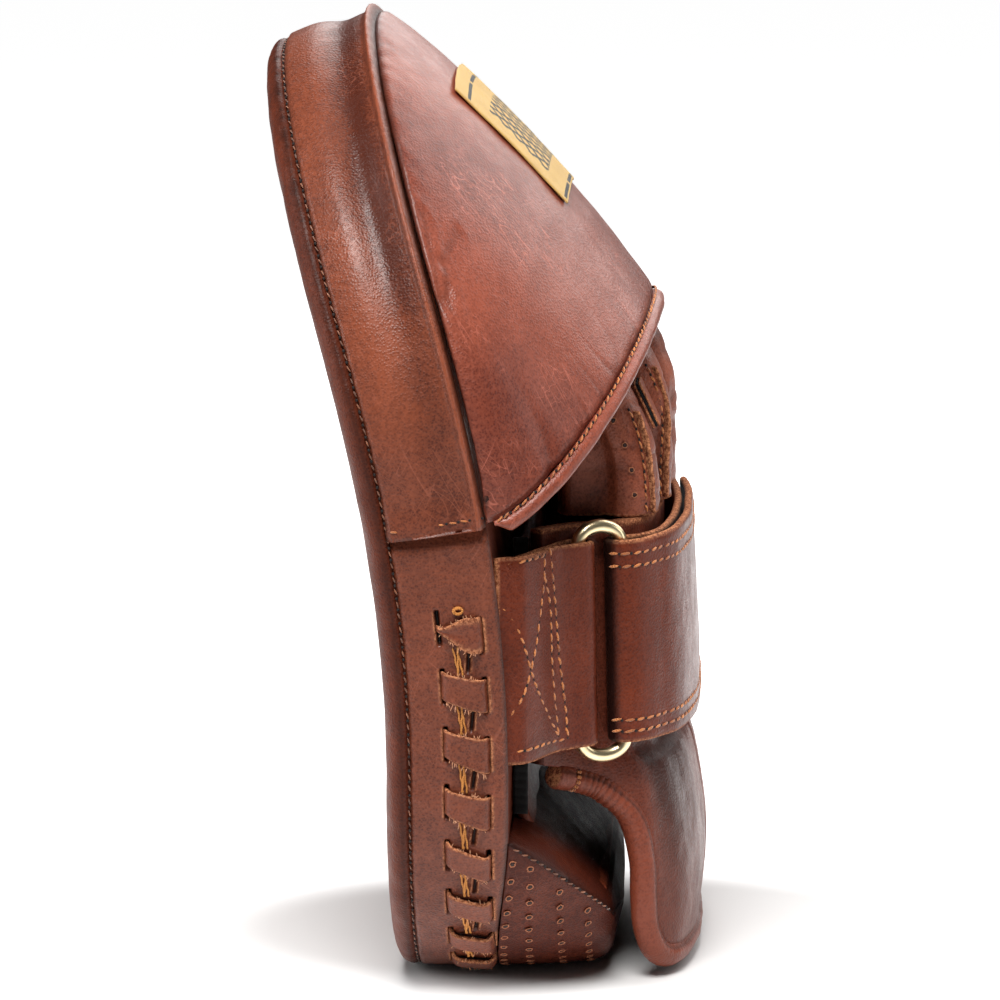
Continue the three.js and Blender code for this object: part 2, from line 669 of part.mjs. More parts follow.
function glovePoint(round, up, depth) {
  const p = besideStrap(GLOVE_START + round * GLOVE_RUN, -(GLOVE_OFFSET + depth));
  const swell = fromTable(GLOVE_SWELL, 'up', 'back', up / GLOVE_TOP);
  const near = Math.min(1, Math.min(round, 1 - round) / 0.12);
  return new THREE.Vector3(p.x, SEAT + (p.y - SEAT) * lerp(1, swell, near) * leanShare(up), up);
}

const RIM_FOOT = 2 * BINDING_R + CLEAR;
const rimSpot = (round, up) => new THREE.Vector3(round * GLOVE_RUN, lerp(RIM_FOOT, NOTCH_RISE, up), 0);
const nearRim = WRIST_RIM.map(({ round, up }) => rimSpot(round / 2, up));
const farRim = WRIST_RIM.slice(0, -1).reverse().map(({ round, up }) => rimSpot(1 - round / 2, up));
const rimCurve = new THREE.CatmullRomCurve3([...nearRim, ...farRim], false, 'centripetal');
rimCurve.arcLengthDivisions = 600;

function makeGloveBody() {
  const columns = 44;
  const swells = GLOVE_SWELL.map(({ up }) => up * GLOVE_TOP);
  const heights = swells.filter((up) => up > 2 * RIM_FOOT && up < GLOVE_TOP);
  const rows = [RIM_FOOT, ...heights, STRAP_RISE, GLOVE_TOP].map((up) => (up - RIM_FOOT) / (GLOVE_TOP - RIM_FOOT));
  const layer = (depth) =>
    spread(0, 1, columns).map((share) => {
      const rim = rimCurve.getPointAt(share);
      const top = new THREE.Vector3(share * GLOVE_RUN, GLOVE_TOP, 0);
      return rows.map((rise) => {
        const at = rim.clone().lerp(top, rise);
        return glovePoint(at.x / GLOVE_RUN, at.y, depth);
      });
    });
  return wallSolid(layer(0), layer(GLOVE_WALL));
}

// A point of the rim, in the middle of the glove's wall.
function rimPoint(share, depth = GLOVE_WALL / 2) {
  const at = rimCurve.getPointAt(THREE.MathUtils.clamp(share, 0, 1));
  return glovePoint(at.x / GLOVE_RUN, at.y, depth);
}

function makeWristBinding() {
  const count = 50;
  const points = Array.from({ length: count + 1 }, (_, i) => {
    const share = lerp(BINDING_START, 1 - BINDING_START, i / count);
    const p = rimPoint(share);
    const along = rimPoint(share + 0.004).sub(rimPoint(share - 0.004));
    const through = rimPoint(share, GLOVE_WALL).sub(rimPoint(share, 0));
    const up = along.cross(through).normalize();
    p.addScaledVector(up, -(BINDING_R + 2 * CLEAR));
    return new THREE.Vector3(p.x, p.y, Math.max(BINDING_R, p.z));
  });
  const curve = new THREE.CatmullRomCurve3(points, false, 'centripetal');
  const sides = 8;
  const frames = curve.computeFrenetFrames(count, false);
  const rings = Array.from({ length: count + 1 }, (_, i) => {
    const p = curve.getPointAt(i / count);
    return Array.from({ length: sides }, (_, k) => {
      const angle = (2 * Math.PI * (k + 0.5)) / sides;
      return p
        .clone()
        .addScaledVector(frames.normals[i], BINDING_R * Math.cos(angle))
        .addScaledVector(frames.binormals[i], BINDING_R * Math.sin(angle));
    });
  });
  const flat = rings[0].map((_, k) => {
    const angle = (2 * Math.PI * (k + 0.5)) / sides;
    return new THREE.Vector2(Math.cos(angle), Math.sin(angle));
  });
  return loftSolid(rings, flat);
}

// A stall's section ring at a height: an ellipse whose middle curls forward as it rises.
const curlAt = (stall, rise) => STALL_CURL * Math.max(0, rise / FINGER_REACH - stall.straight) ** 2;
const stallX = (stall) => stall.x * strapSpan;
const stallBack = (stall) => SEAT + stall.back * STRAP_DEPTH;

function stallRing(stall, rise, { wall, size }) {
  const share = rise / (stall.tip * FINGER_REACH);
  const x = stallX(stall) + stall.splay * STALL.wide * share;
  const y = stallBack(stall) - STALL.deep - curlAt(stall, rise);
  return Array.from({ length: STALL.sides }, (_, k) => {
    const angle = (2 * Math.PI * k) / STALL.sides;
    const across = (STALL.wide - wall) * size * Math.cos(angle);
    const deep = (STALL.deep - wall) * size * Math.sin(angle);
    return new THREE.Vector3(x + across, y + deep, GLOVE_TOP + rise);
  });
}

function makeStall(stall) {
  const layer = (wall) => {
    const top = stall.tip * FINGER_REACH - wall;
    const shoulder = top - (STALL.deep - wall);
    const straight = [0, 0.3, 0.55, 0.78, 1].map((share) =>
      stallRing(stall, lerp(CLEAR, shoulder, share), { wall, size: 1 }),
    );
    const round = [30, 60, 90].map((degrees) => {
      const angle = THREE.MathUtils.degToRad(degrees);
      const size = degrees === 90 ? 0 : Math.cos(angle);
      return stallRing(stall, shoulder + (top - shoulder) * Math.sin(angle), { wall, size });
    });
    return [...straight, ...round];
  };
  return closedGeometry(gridTriangles([...layer(0).reverse(), ...layer(STALL.wall)], true));
}

// The laminated tab lies along the little finger's stall, touching it at the tab's middle.
function makeFingerTab() {
  const little = STALLS[0];
  const slope = (2 * STALL_CURL * (TAB.rise / FINGER_REACH - little.straight)) / FINGER_REACH;
  const lean = Math.atan(slope);
  const back = stallBack(little) - curlAt(little, TAB.rise) + CLEAR;
  const middle = new THREE.Vector3(stallX(little) - TAB.aside, back, GLOVE_TOP + TAB.rise);
  const half = TAB.long / 2;
  const section = (across) =>
    [[-half, 0], [half, 0], [half, TAB.thick], [-half, TAB.thick]].map(([along, out]) => {
      const y = middle.y - along * Math.sin(lean) + out * Math.cos(lean);
      const z = middle.z + along * Math.cos(lean) + out * Math.sin(lean);
      return new THREE.Vector3(middle.x + across, y, z);
    });
  const flat = [[0, 0], [1, 0], [1, 1], [0, 1]].map(([a, b]) => new THREE.Vector2(a, b));
  return loftSolid([section(-TAB.wide / 2), section(TAB.wide / 2)], flat);
}

// The heel cushion: sections that follow the pad's foot, cut off level at the top.
function bolsterSection({ out, wide, top, lift }) {
  const ceiling = BOLSTER_HEIGHT * top;
  const reach = footRunTo(ceiling);
  const floor = BOLSTER_HEIGHT * lift;
  return Array.from({ length: 25 }, (_, i) => {
    const at = outlineAt(lerp(-reach, reach, i / 24));
    const z = lerp(floor, ceiling, at.s / ceiling);
    return new THREE.Vector3(at.x * wide, SEAT + out * BOLSTER_DEPTH, z);
  });
}

// The distance round the outline from the middle of the foot to a height on the corner arc.
const footRunTo = (rise) => FOOT_HALF + CORNER_R * Math.acos(1 - rise / CORNER_R);

function makeBolster() {
  const sections = BOLSTER_SECTIONS.map(bolsterSection);
  const flat = sections[0].map((p) => new THREE.Vector2(p.x, p.z));
  return loftSolid(sections, flat);
}

// The palm's leather lies on the cushion's slope and then up the pad's back, between the glove's side walls.
function makePalmPanel() {
  const between = glovePoint(0, STRAP_RISE, GLOVE_WALL).x - ELASTIC.thick - 2 * CLEAR;
  const slope = BOLSTER_SECTIONS.filter(({ top }) => top > 0.65);
  const corner = slope.map(({ out, top }) => ({
    out: SEAT + out * BOLSTER_DEPTH,
    up: BOLSTER_HEIGHT * top,
    half: between * (1 - 0.25 * out),
  }));
  const edge = { out: SEAT, half: between };
  const line = [{ ...edge, up: PALM_TOP }, { ...edge, up: (PALM_TOP + BOLSTER_HEIGHT) / 2 }, ...corner];
  const layer = (off) =>
    line.map(({ out, up, half }, i) => {
      const before = line[Math.max(0, i - 1)];
      const after = line[Math.min(line.length - 1, i + 1)];
      const way = new THREE.Vector2(after.out - before.out, after.up - before.up).normalize();
      const y = out - way.y * off;
      const z = up + way.x * off;
      return spread(-half, half, 4).map((x) => new THREE.Vector3(x, Math.max(y, SEAT), z));
    });
  return wallSolid(layer(CLEAR * 1.5 + PALM_THICK), layer(CLEAR * 1.5));
}

function makeElastic(side) {
  const outer = glovePoint(0, STRAP_RISE, 0);
  const inner = glovePoint(0, STRAP_RISE, GLOVE_WALL);
  const deep = Math.min(outer.y, inner.y) - SEAT - 2 * CLEAR;
  const solid = new THREE.BoxGeometry(ELASTIC.thick, deep, ELASTIC.high - ELASTIC.low);
  solid.translate((side * (outer.x + inner.x)) / 2, SEAT + deep / 2, (ELASTIC.high + ELASTIC.low) / 2);
  return solid;
}

add('pad_core', makePadCore(), foamLook);
add('strike_panel', makeStrikePanel(), leatherLook);
add('back_panel', makeBackPanel(), leatherLook);
add('upper_gusset', stripSolid(JOINT_AT, 2 * HALF_ROUND - JOINT_AT, gussetSection(GUSSET_PUFF), PAD_STEP), gussetLook);
add('lower_gusset', makeLowerGusset(), gussetLook);
add('lace', makeLace(), leatherLook);
add('hood', makeHood(), hoodLook);
add('hood_hem', makeHoodHem(), hoodLook);
add('hood_label', makeHoodLabel(), labelLook);
add('anchor_strap', makeAnchorStrap(), strapLook);
add('closure_strap', makeClosureStrap(), strapLook);
add('strap_ring', makeRing(), brassLook);
add('glove_body', makeGloveBody(), leatherLook);
add('wrist_binding', makeWristBinding(), leatherLook);
for (const stall of STALLS) add(stall.name, makeStall(stall), leatherLook);
add('finger_tab', makeFingerTab(), leatherLook);
add('heel_bolster', makeBolster(), leatherLook);
add('palm_panel', makePalmPanel(), leatherLook);
add('side_elastic_near', makeElastic(1), elasticLook);
add('side_elastic_far', makeElastic(-1), elasticLook);

export default mitt;
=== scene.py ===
# %% [markdown]
# A leather focus mitt, standing on its lower gusset and seen from its little finger's side. The packed
# part gives the frame. Every visible piece is built again here with its real detail: rolled seams,
# wrinkles, raw edges, perforations and stitches. Lengths are millimetres in the part's own frame, except
# in the materials and the floor, where they are metres.

import bmesh
import bpy
import numpy as np
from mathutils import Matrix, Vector


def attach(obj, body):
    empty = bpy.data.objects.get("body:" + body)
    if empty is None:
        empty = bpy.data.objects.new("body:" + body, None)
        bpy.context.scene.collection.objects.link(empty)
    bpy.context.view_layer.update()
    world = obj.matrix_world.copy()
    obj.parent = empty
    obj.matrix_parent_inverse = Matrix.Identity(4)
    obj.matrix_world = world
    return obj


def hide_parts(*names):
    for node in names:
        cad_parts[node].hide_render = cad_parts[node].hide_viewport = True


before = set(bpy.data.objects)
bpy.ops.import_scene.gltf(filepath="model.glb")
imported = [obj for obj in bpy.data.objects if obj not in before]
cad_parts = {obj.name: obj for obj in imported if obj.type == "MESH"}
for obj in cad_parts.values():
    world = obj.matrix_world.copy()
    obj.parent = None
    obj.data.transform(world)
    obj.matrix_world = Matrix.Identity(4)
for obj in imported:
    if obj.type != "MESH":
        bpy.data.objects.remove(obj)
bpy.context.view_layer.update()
MM = 0.001
PI = np.pi
print("nodes", len(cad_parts))

# %% [markdown]
# The sizes are those of the part's source. They could be read off the nodes' boxes, but the outline's
# arcs, the slab's bend and the strap's line are needed between the nodes' corners as well, so they are
# stated again.

# %% Sizes shared with the part
FOOT_HALF, CORNER_R, CROWN_R, CROWN_RISE = 30.0, 62.0, 98.0, 150.0
BEND_START, BEND_END, LEAN = 62.0, 180.0, np.radians(17.2)
FACE_SEAM, BACK_FACE, SEAT = -12.7, 12.7, 13.0
FACE_DEEP, FACE_DISH, FACE_ROLL = 5.9, 2.6, 20.0
JOINT_RISE = 126.0
HOOD_DEPTH, HOOD_WALL, HOOD_BULGE, MOUTH_RISE, CORNER_RIB = 48.4, 3.0, 3.4, 33.0, 6.0
STRAP_DEPTH, STRAP_WIDTH, STRAP_RISE, STRAP_THICK = 43.4, 53.0, 91.5, 2.2
STRAP_INSET, STRAP_LEAN, TAPE_GAP, RING_OPENING = 3.7, 0.001, 0.9, 12.0
RING_WIRE, RING_WIDTH, RING_STRAIGHT, RING_SHARE, CLEAR = 3.6, 12.0, 51.0, 0.37, 0.3
GLOVE_WALL, GLOVE_START, GLOVE_TOP, NOTCH_RISE, BINDING_R = 4.0, 27.0, 121.0, 60.0, 3.5
BOLSTER_DEPTH, BOLSTER_HEIGHT = 25.5, 45.0
LACE_BARS, LACE_PITCH, LACE_WIDTH, LACE_REACH, LACE_ACROSS, LACE_TOP = 8, 15.2, 9.4, 9.8, 2.6, 100.0
LABEL_WIDE, LABEL_TALL, ELASTIC_FOOT, ELASTIC_TALL, FOOT_NARROW = 54.0, 46.0, 47.0, 72.0, 4.2

arc_gap = np.hypot(FOOT_HALF, CROWN_RISE - CORNER_R)
SIDE_ANGLE = np.arctan2(CORNER_R - CROWN_RISE, FOOT_HALF) + np.arccos((CROWN_R - CORNER_R) / arc_gap)
CORNER_RUN = CORNER_R * (SIDE_ANGLE + PI / 2)
SIDE_RUN = np.sqrt(arc_gap**2 - (CROWN_R - CORNER_R) ** 2)
HALF = FOOT_HALF + CORNER_RUN + SIDE_RUN + CROWN_R * (PI / 2 - SIDE_ANGLE)
SIDE_FOOT = CORNER_R * (1 + np.sin(SIDE_ANGLE))
BEND_R = (BEND_END - BEND_START) / LEAN


def outline(d):
    """x, s and the outward direction at a distance round the foot, corner arc, straight side and crown arc."""
    d = np.mod(np.asarray(d, float), 2 * HALF)
    side = np.where(d > HALF, -1.0, 1.0)
    left = np.where(d > HALF, 2 * HALF - d, d)
    corner = np.clip(left - FOOT_HALF, 0, CORNER_RUN)
    along = np.clip(left - FOOT_HALF - CORNER_RUN, 0, SIDE_RUN)
    crown = np.clip(left - FOOT_HALF - CORNER_RUN - SIDE_RUN, 0, None)
    angle = -PI / 2 + corner / CORNER_R + crown / CROWN_R
    low = angle - crown / CROWN_R
    x = np.minimum(left, FOOT_HALF) + CORNER_R * np.cos(low) - along * np.sin(SIDE_ANGLE)
    s = CORNER_R + CORNER_R * np.sin(low) + along * np.cos(SIDE_ANGLE)
    x = np.where(crown > 0, CROWN_R * np.cos(angle), x)
    s = np.where(crown > 0, CROWN_RISE + CROWN_R * np.sin(angle), s)
    return side * x, s, side * np.cos(angle), np.sin(angle)


def bent(x, s, t):
    """The bent slab: upright up to BEND_START, then round a circle of radius BEND_R, then straight on."""
    x, s, t = np.broadcast_arrays(np.asarray(x, float), s, t)
    turn = np.clip((s - BEND_START) / BEND_R, 0, LEAN)
    past = np.clip(s - BEND_END, 0, None)
    y = -BEND_R * (1 - np.cos(turn)) - past * np.sin(LEAN) + t * np.cos(turn)
    z = np.minimum(s, BEND_START) + BEND_R * np.sin(turn) + past * np.cos(LEAN) + t * np.sin(turn)
    return np.stack([x, y, z], -1)


def rim(d, inset, t):
    """A point of the slab at a distance round the outline, inset from it, at a depth t through the slab."""
    x, s, nx, ns = outline(d)
    return bent(x - inset * nx, s - inset * ns, t)


def along_side(rise):
    """The distance round the outline at which its straight side reaches a height."""
    return FOOT_HALF + CORNER_RUN + (rise - SIDE_FOOT) / np.cos(SIDE_ANGLE)


JOINT_AT = along_side(JOINT_RISE)
SPAN = outline(along_side(STRAP_RISE))[0] - STRAP_INSET
print("round the pad", round(2 * HALF, 1), "strap span", round(float(SPAN), 1))

# %% [markdown]
# Most pieces are grids of points. One function closes a grid into a solid, gives it UVs in metres and
# carries the numbers that the materials read: raw edges, wear with some painted highlight and painted
# shade, painted shade in grooves and hollows, and faces that show suede.

# %% Mesh helpers
# Of the marks, the second and fourth paint shade, and the last holds wear along with some painted highlight
# and shade.
MARKS = ("raw", "groove", "lining", "dark", "worn")
SIDES = ((1, "near"), (-1, "far"))


def unit(v):
    """Vectors divided by their length."""
    return v / np.maximum(np.linalg.norm(v, axis=-1, keepdims=True), 1e-12)


def smooth(a, b, x):
    """0 up to a, 1 from b on, with level ends: 3x^2 - 2x^3 between."""
    k = np.clip((x - a) / (b - a), 0, 1)
    return k * k * (3 - 2 * k)
def hump(x, wide, power=2):
    """A bell that is 1 at 0: exp(-(x / wide)^power)."""
    return np.exp(-((x / wide) ** power))

def waves(p, size, seed, count=7):
    """Soft noise from -1 to 1: the mean of sines with random directions and a wavelength near size."""
    rng = np.random.default_rng(seed)
    way = unit(rng.normal(size=(count, 3))) * (2 * PI / (size * rng.uniform(0.7, 1.4, (count, 1))))
    return np.sin(np.asarray(p) @ way.T + rng.uniform(0, 2 * PI, count)).mean(-1) * 1.6


def creases(p, size, seed):
    """Narrow valleys where soft noise passes through zero: 1 in the valley, 0 away from it."""
    return hump(waves(p, size, seed), 0.13)


def normals_of(p):
    """Normals of a grid of points, from its rows' and columns' differences."""
    return unit(np.cross(np.gradient(p, axis=0), np.gradient(p, axis=1)))


def ring_normals(rings):
    """Normals of a grid whose rows are closed rings."""
    return normals_of(np.concatenate([rings, rings[:, :1]], 1))[:, :-1]


def lengths(p):
    """How far along a line each of its points lies, averaged over the columns of a grid."""
    steps = np.linalg.norm(np.diff(p, axis=0), axis=-1)
    return np.concatenate([[0], np.cumsum(steps.mean(1) if steps.ndim > 1 else steps)])


def sample(at, knots, points):
    """Points between given ones, on straight runs between their knots."""
    return np.stack([np.interp(at, knots, points[:, k]) for k in range(points.shape[1])], -1)


def curve(points, count):
    """Points at even lengths on a centripetal Catmull-Rom line."""
    q = np.asarray(points, float)
    q = np.vstack([2 * q[0] - q[1], q, 2 * q[-1] - q[-2]])
    knots = np.concatenate([[0], np.cumsum(np.linalg.norm(np.diff(q, axis=0), axis=1) ** 0.5)])
    fine = []
    for i in range(1, len(q) - 2):
        t0, t1, t2, t3 = knots[i - 1 : i + 3]
        t = np.linspace(t1, t2, 60, endpoint=i == len(q) - 3)[:, None]
        a1 = (t1 - t) / (t1 - t0) * q[i - 1] + (t - t0) / (t1 - t0) * q[i]
        a2 = (t2 - t) / (t2 - t1) * q[i] + (t - t1) / (t2 - t1) * q[i + 1]
        a3 = (t3 - t) / (t3 - t2) * q[i + 1] + (t - t2) / (t3 - t2) * q[i + 2]
        b1 = (t2 - t) / (t2 - t0) * a1 + (t - t0) / (t2 - t0) * a2
        b2 = (t3 - t) / (t3 - t1) * a2 + (t - t1) / (t3 - t1) * a3
        fine.append((t2 - t) / (t2 - t1) * b1 + (t - t1) / (t2 - t1) * b2)
    fine = np.vstack(fine)
    run = lengths(fine)
    return sample(np.linspace(0, run[-1], count), run, fine)

# %% [markdown]
# A grid of points becomes a solid in one of two ways: as a tube of rings with capped ends, or as a leaf
# between two faces that share their border. Both go through one function, which makes the mesh.

# %% Meshes from grids
def linked(name, data):
    """A new object in the scene."""
    item = bpy.data.objects.new(name, data)
    bpy.context.scene.collection.objects.link(item)
    return item


def finish_mesh(name, points, faces, uvs, marks, look):
    """A mesh in metres with its UVs and marks, doubles welded and the normals outward."""
    mesh = bpy.data.meshes.new(name)
    mesh.from_pydata((np.asarray(points) * MM).tolist(), [], [list(map(int, f)) for f in faces])
    layer = mesh.uv_layers.new(name="UVMap")
    layer.data.foreach_set("uv", (np.asarray(uvs) * MM).ravel())
    for mark in MARKS:
        values = np.asarray(marks.get(mark, np.zeros(len(points))), float).ravel()
        mesh.attributes.new(mark, "FLOAT", "POINT").data.foreach_set("value", values)
    bm = bmesh.new()
    bm.from_mesh(mesh)
    bmesh.ops.remove_doubles(bm, verts=bm.verts, dist=2e-6)
    bmesh.ops.dissolve_degenerate(bm, edges=bm.edges, dist=1e-7)
    if bm.calc_volume(signed=True) < 0:
        bmesh.ops.reverse_faces(bm, faces=bm.faces)
    bm.to_mesh(mesh)
    bm.free()
    mesh.shade_smooth()
    mesh.materials.append(look)
    piece = linked(name, mesh)
    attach(piece, "root")
    return piece


def grid_faces(n, m, close):
    """Faces of an n by m grid of points, its rows closed into rings when asked, and their grid places."""
    cells = m if close else m - 1
    i, j = np.meshgrid(np.arange(n - 1), np.arange(cells), indexing="ij")
    corner = [(i, j), (i + 1, j), (i + 1, j + 1), (i, j + 1)]
    faces = np.stack([a * m + b % m for a, b in corner], -1).reshape(-1, 4)
    places = np.stack([np.stack([a, b], -1) for a, b in corner], -2).reshape(-1, 2)
    return faces, places


def tube(name, p, look, marks=None, wrap=False):
    """A solid from rings p[ring, point]. The ends are capped across each ring, or joined when it wraps."""
    if wrap:
        p = np.concatenate([p, p[:1]])
        marks = {k: np.concatenate([v, v[:1]]) for k, v in (marks or {}).items()}
    n, m = p.shape[:2]
    faces, places = grid_faces(n, m, True)
    run = lengths(p)
    girth = lengths(np.concatenate([p, p[:, :1]], 1).swapaxes(0, 1))
    uvs = np.stack([run[places[:, 0]], girth[places[:, 1]]], -1)
    faces = faces.tolist()
    flat = p.reshape(-1, 3)
    if not wrap:
        caps = []
        for row, turned in ((0, False), (n - 1, True)):
            for j in range((m - 1) // 2):
                one = [row * m + k for k in (j, j + 1, m - 2 - j, m - 1 - j)]
                one = list(dict.fromkeys(one))
                if len(one) > 2:
                    caps.append(one[::-1] if turned else one)
        spots = [np.linalg.norm(flat[v] - flat[f[0]]) for f in caps for v in f]
        uvs = np.vstack([uvs, np.stack([spots, spots], -1)])
        faces += caps
    return finish_mesh(name, flat, faces, uvs, marks or {}, look)


def leaf(name, front, back, look, marks=None):
    """A sheet between two grids that share their border."""
    n, m = front.shape[:2]
    faces, places = grid_faces(n, m, False)
    u, v = lengths(front), lengths(front.swapaxes(0, 1))
    uvs = np.stack([u[places[:, 0]], v[places[:, 1]]], -1)
    points = np.concatenate([front.reshape(-1, 3), back.reshape(-1, 3)])
    both = np.vstack([faces, faces[:, ::-1] + n * m])
    uvs = np.vstack([uvs, uvs.reshape(-1, 4, 2)[:, ::-1].reshape(-1, 2)])
    marks = {k: np.concatenate([np.ravel(v[0]), np.ravel(v[1])]) for k, v in (marks or {}).items()}
    return finish_mesh(name, points, both, uvs, marks, look)

# %% [markdown]
# Leather is a sheet with rounded edges about a middle surface. A stitch is a short round thread, and all
# the stitches of a row are one mesh, because hundreds of objects would be slow.

# %% Sheets and stitches
def edge_shares(run, thick, step):
    """Shares of a run, even steps with three close ones at each end to round an edge of that thickness."""
    half = thick / 2
    near = np.array([0, 0.12, 0.45, 1.0]) * half
    inner = np.linspace(half, run - half, max(2, int(round((run - thick) / step)) + 1))[1:-1]
    return np.concatenate([near, inner, run - near[::-1]]) / run


def rounding(shares, run, thick):
    """How thick a sheet with rounded edges is at each share: sqrt(1 - (1 - e/h)^2) within h of an edge."""
    half = thick / 2
    e = np.clip(np.minimum(shares, 1 - shares) * run / half, 0, 1)
    return np.sqrt(np.clip(1 - (1 - e) ** 2, 0, 1))


def sheet(name, middle, u, v, runs, thick, look, dent=0.0, marks=None, lining=1.0, flip=1, cut=1.0):
    """A leather sheet about a grid of middle points, its raw edges rounded. dent moves both faces together."""
    middle = middle + normals_of(middle) * flip * np.asarray(dent)[..., None]
    normal = normals_of(middle) * flip
    ru, rv = rounding(u, runs[0], thick), rounding(v, runs[1], thick)
    swell = (np.minimum(ru[:, None], rv[None, :]) * thick / 2)[..., None]
    edge = np.maximum(1 - ru[:, None] ** 4, 1 - rv[None, :] ** 4)
    given = {k: np.broadcast_to(w, edge.shape) for k, w in (marks or {}).items()}
    both = {k: (w, w) for k, w in given.items()}
    raw = np.maximum(edge * cut, given.get("raw", 0))
    both["raw"] = (raw, raw)
    both["lining"] = (np.zeros_like(edge), np.full_like(edge, lining))
    return leaf(name, middle + normal * swell, middle - normal * swell, look, both)


def capsules(name, start, end, up, width, height, look, arch=0.0):
    """Short round threads in one mesh: each runs from start to end, arched along up, with small ends."""
    stations, sides = 7, 6
    k = np.linspace(0, 1, stations)[None, :, None]
    middle = start[:, None] * (1 - k) + end[:, None] * k
    size = np.sqrt(np.clip(1 - (2 * k - 1) ** 2 * 0.96, 0, 1))
    middle = middle + up[:, None] * (arch * np.sin(PI * k))
    across = unit(np.cross(end - start, up))[:, None, None]
    lift = up[:, None, None]
    angle = np.linspace(0, 2 * PI, sides, endpoint=False)[None, None, :, None]
    ring = across * np.cos(angle) * width / 2 + lift * np.sin(angle) * height / 2
    p = middle[:, :, None] + ring * size[:, :, None]
    count = len(start)
    faces, _ = grid_faces(stations, sides, True)
    caps = [list(range(sides))[::-1], [(stations - 1) * sides + j for j in range(sides)]]
    each = stations * sides
    flat = [(f + i * each).tolist() for i in range(count) for f in faces]
    flat += [[v + i * each for v in cap] for i in range(count) for cap in caps]
    corners = sum(len(f) for f in flat)
    tone = np.repeat(np.random.default_rng(count).uniform(0, 1, count), each)
    return finish_mesh(name, p.reshape(-1, 3), flat, np.zeros((corners, 2)), {"worn": tone}, look)


def along(path, spots):
    """Points and directions at the given lengths along a fine line of points, and the line's length."""
    run = lengths(path)
    ahead, behind = sample(spots + 0.3, run, path), sample(spots - 0.3, run, path)
    return sample(spots, run, path), unit(ahead - behind), run[-1]


def stitches(name, path, up, look, pitch=3.3, length=2.6, width=0.8, slant=0.0, seed=1, lift=0.1):
    """A row of lockstitches on a line: thread capsules, with a small capsule of painted shade for the hole
    between them.
    """
    total = lengths(path)[-1]
    count = max(2, int(total / pitch))
    spots = (np.arange(count) + 0.5) * total / count
    rng = np.random.default_rng(seed)
    spots = spots + rng.normal(0, 0.06 * pitch, count)
    at, way, _ = along(path, spots)
    lifted = unit(sample(spots / total, np.linspace(0, 1, len(up)), up))
    turned = np.radians(slant + rng.normal(0, 4, count))[:, None]
    reach = way * np.cos(turned) + np.cross(lifted, way) * np.sin(turned)
    half = (length * rng.uniform(0.9, 1.08, count) / 2)[:, None]
    low = at + lifted * (lift - 0.35 * width)
    capsules(name, low - reach * half, low + reach * half, lifted, width, width * 0.9, look, 0.3 * width)
    gaps = at + way * (pitch / 2) - lifted * 0.12
    capsules(name + "_hole_shades", gaps - way * 0.4, gaps + way * 0.4, lifted, 0.75, 0.5, hole_shade_look)


def slots(pieces, nodes=()):
    """Hides the CAD nodes that the pieces stand for. pieces is not used."""
    if nodes:
        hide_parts(*nodes)


# %% [markdown]
# The leather is a waxed pull-up hide: dark red brown where it is thick with wax, paler and redder where
# it is bent or rubbed, with fine pores, faint scratches and a few long creases. It could be one colour
# with noise, but the photo shows three scales of mottling, so three noises are mixed and the marks
# painted into the meshes steer them. The marks also paint shade into grooves, creases and hollows, and
# some painted highlight and shade onto single pieces.

# %% Materials
def srgb(*rgb):
    """An sRGB triple of 0 to 255 as linear numbers."""
    c = np.asarray(rgb, float) / 255
    return (*np.where(c <= 0.04045, c / 12.92, ((c + 0.055) / 1.055) ** 2.4), 1.0)


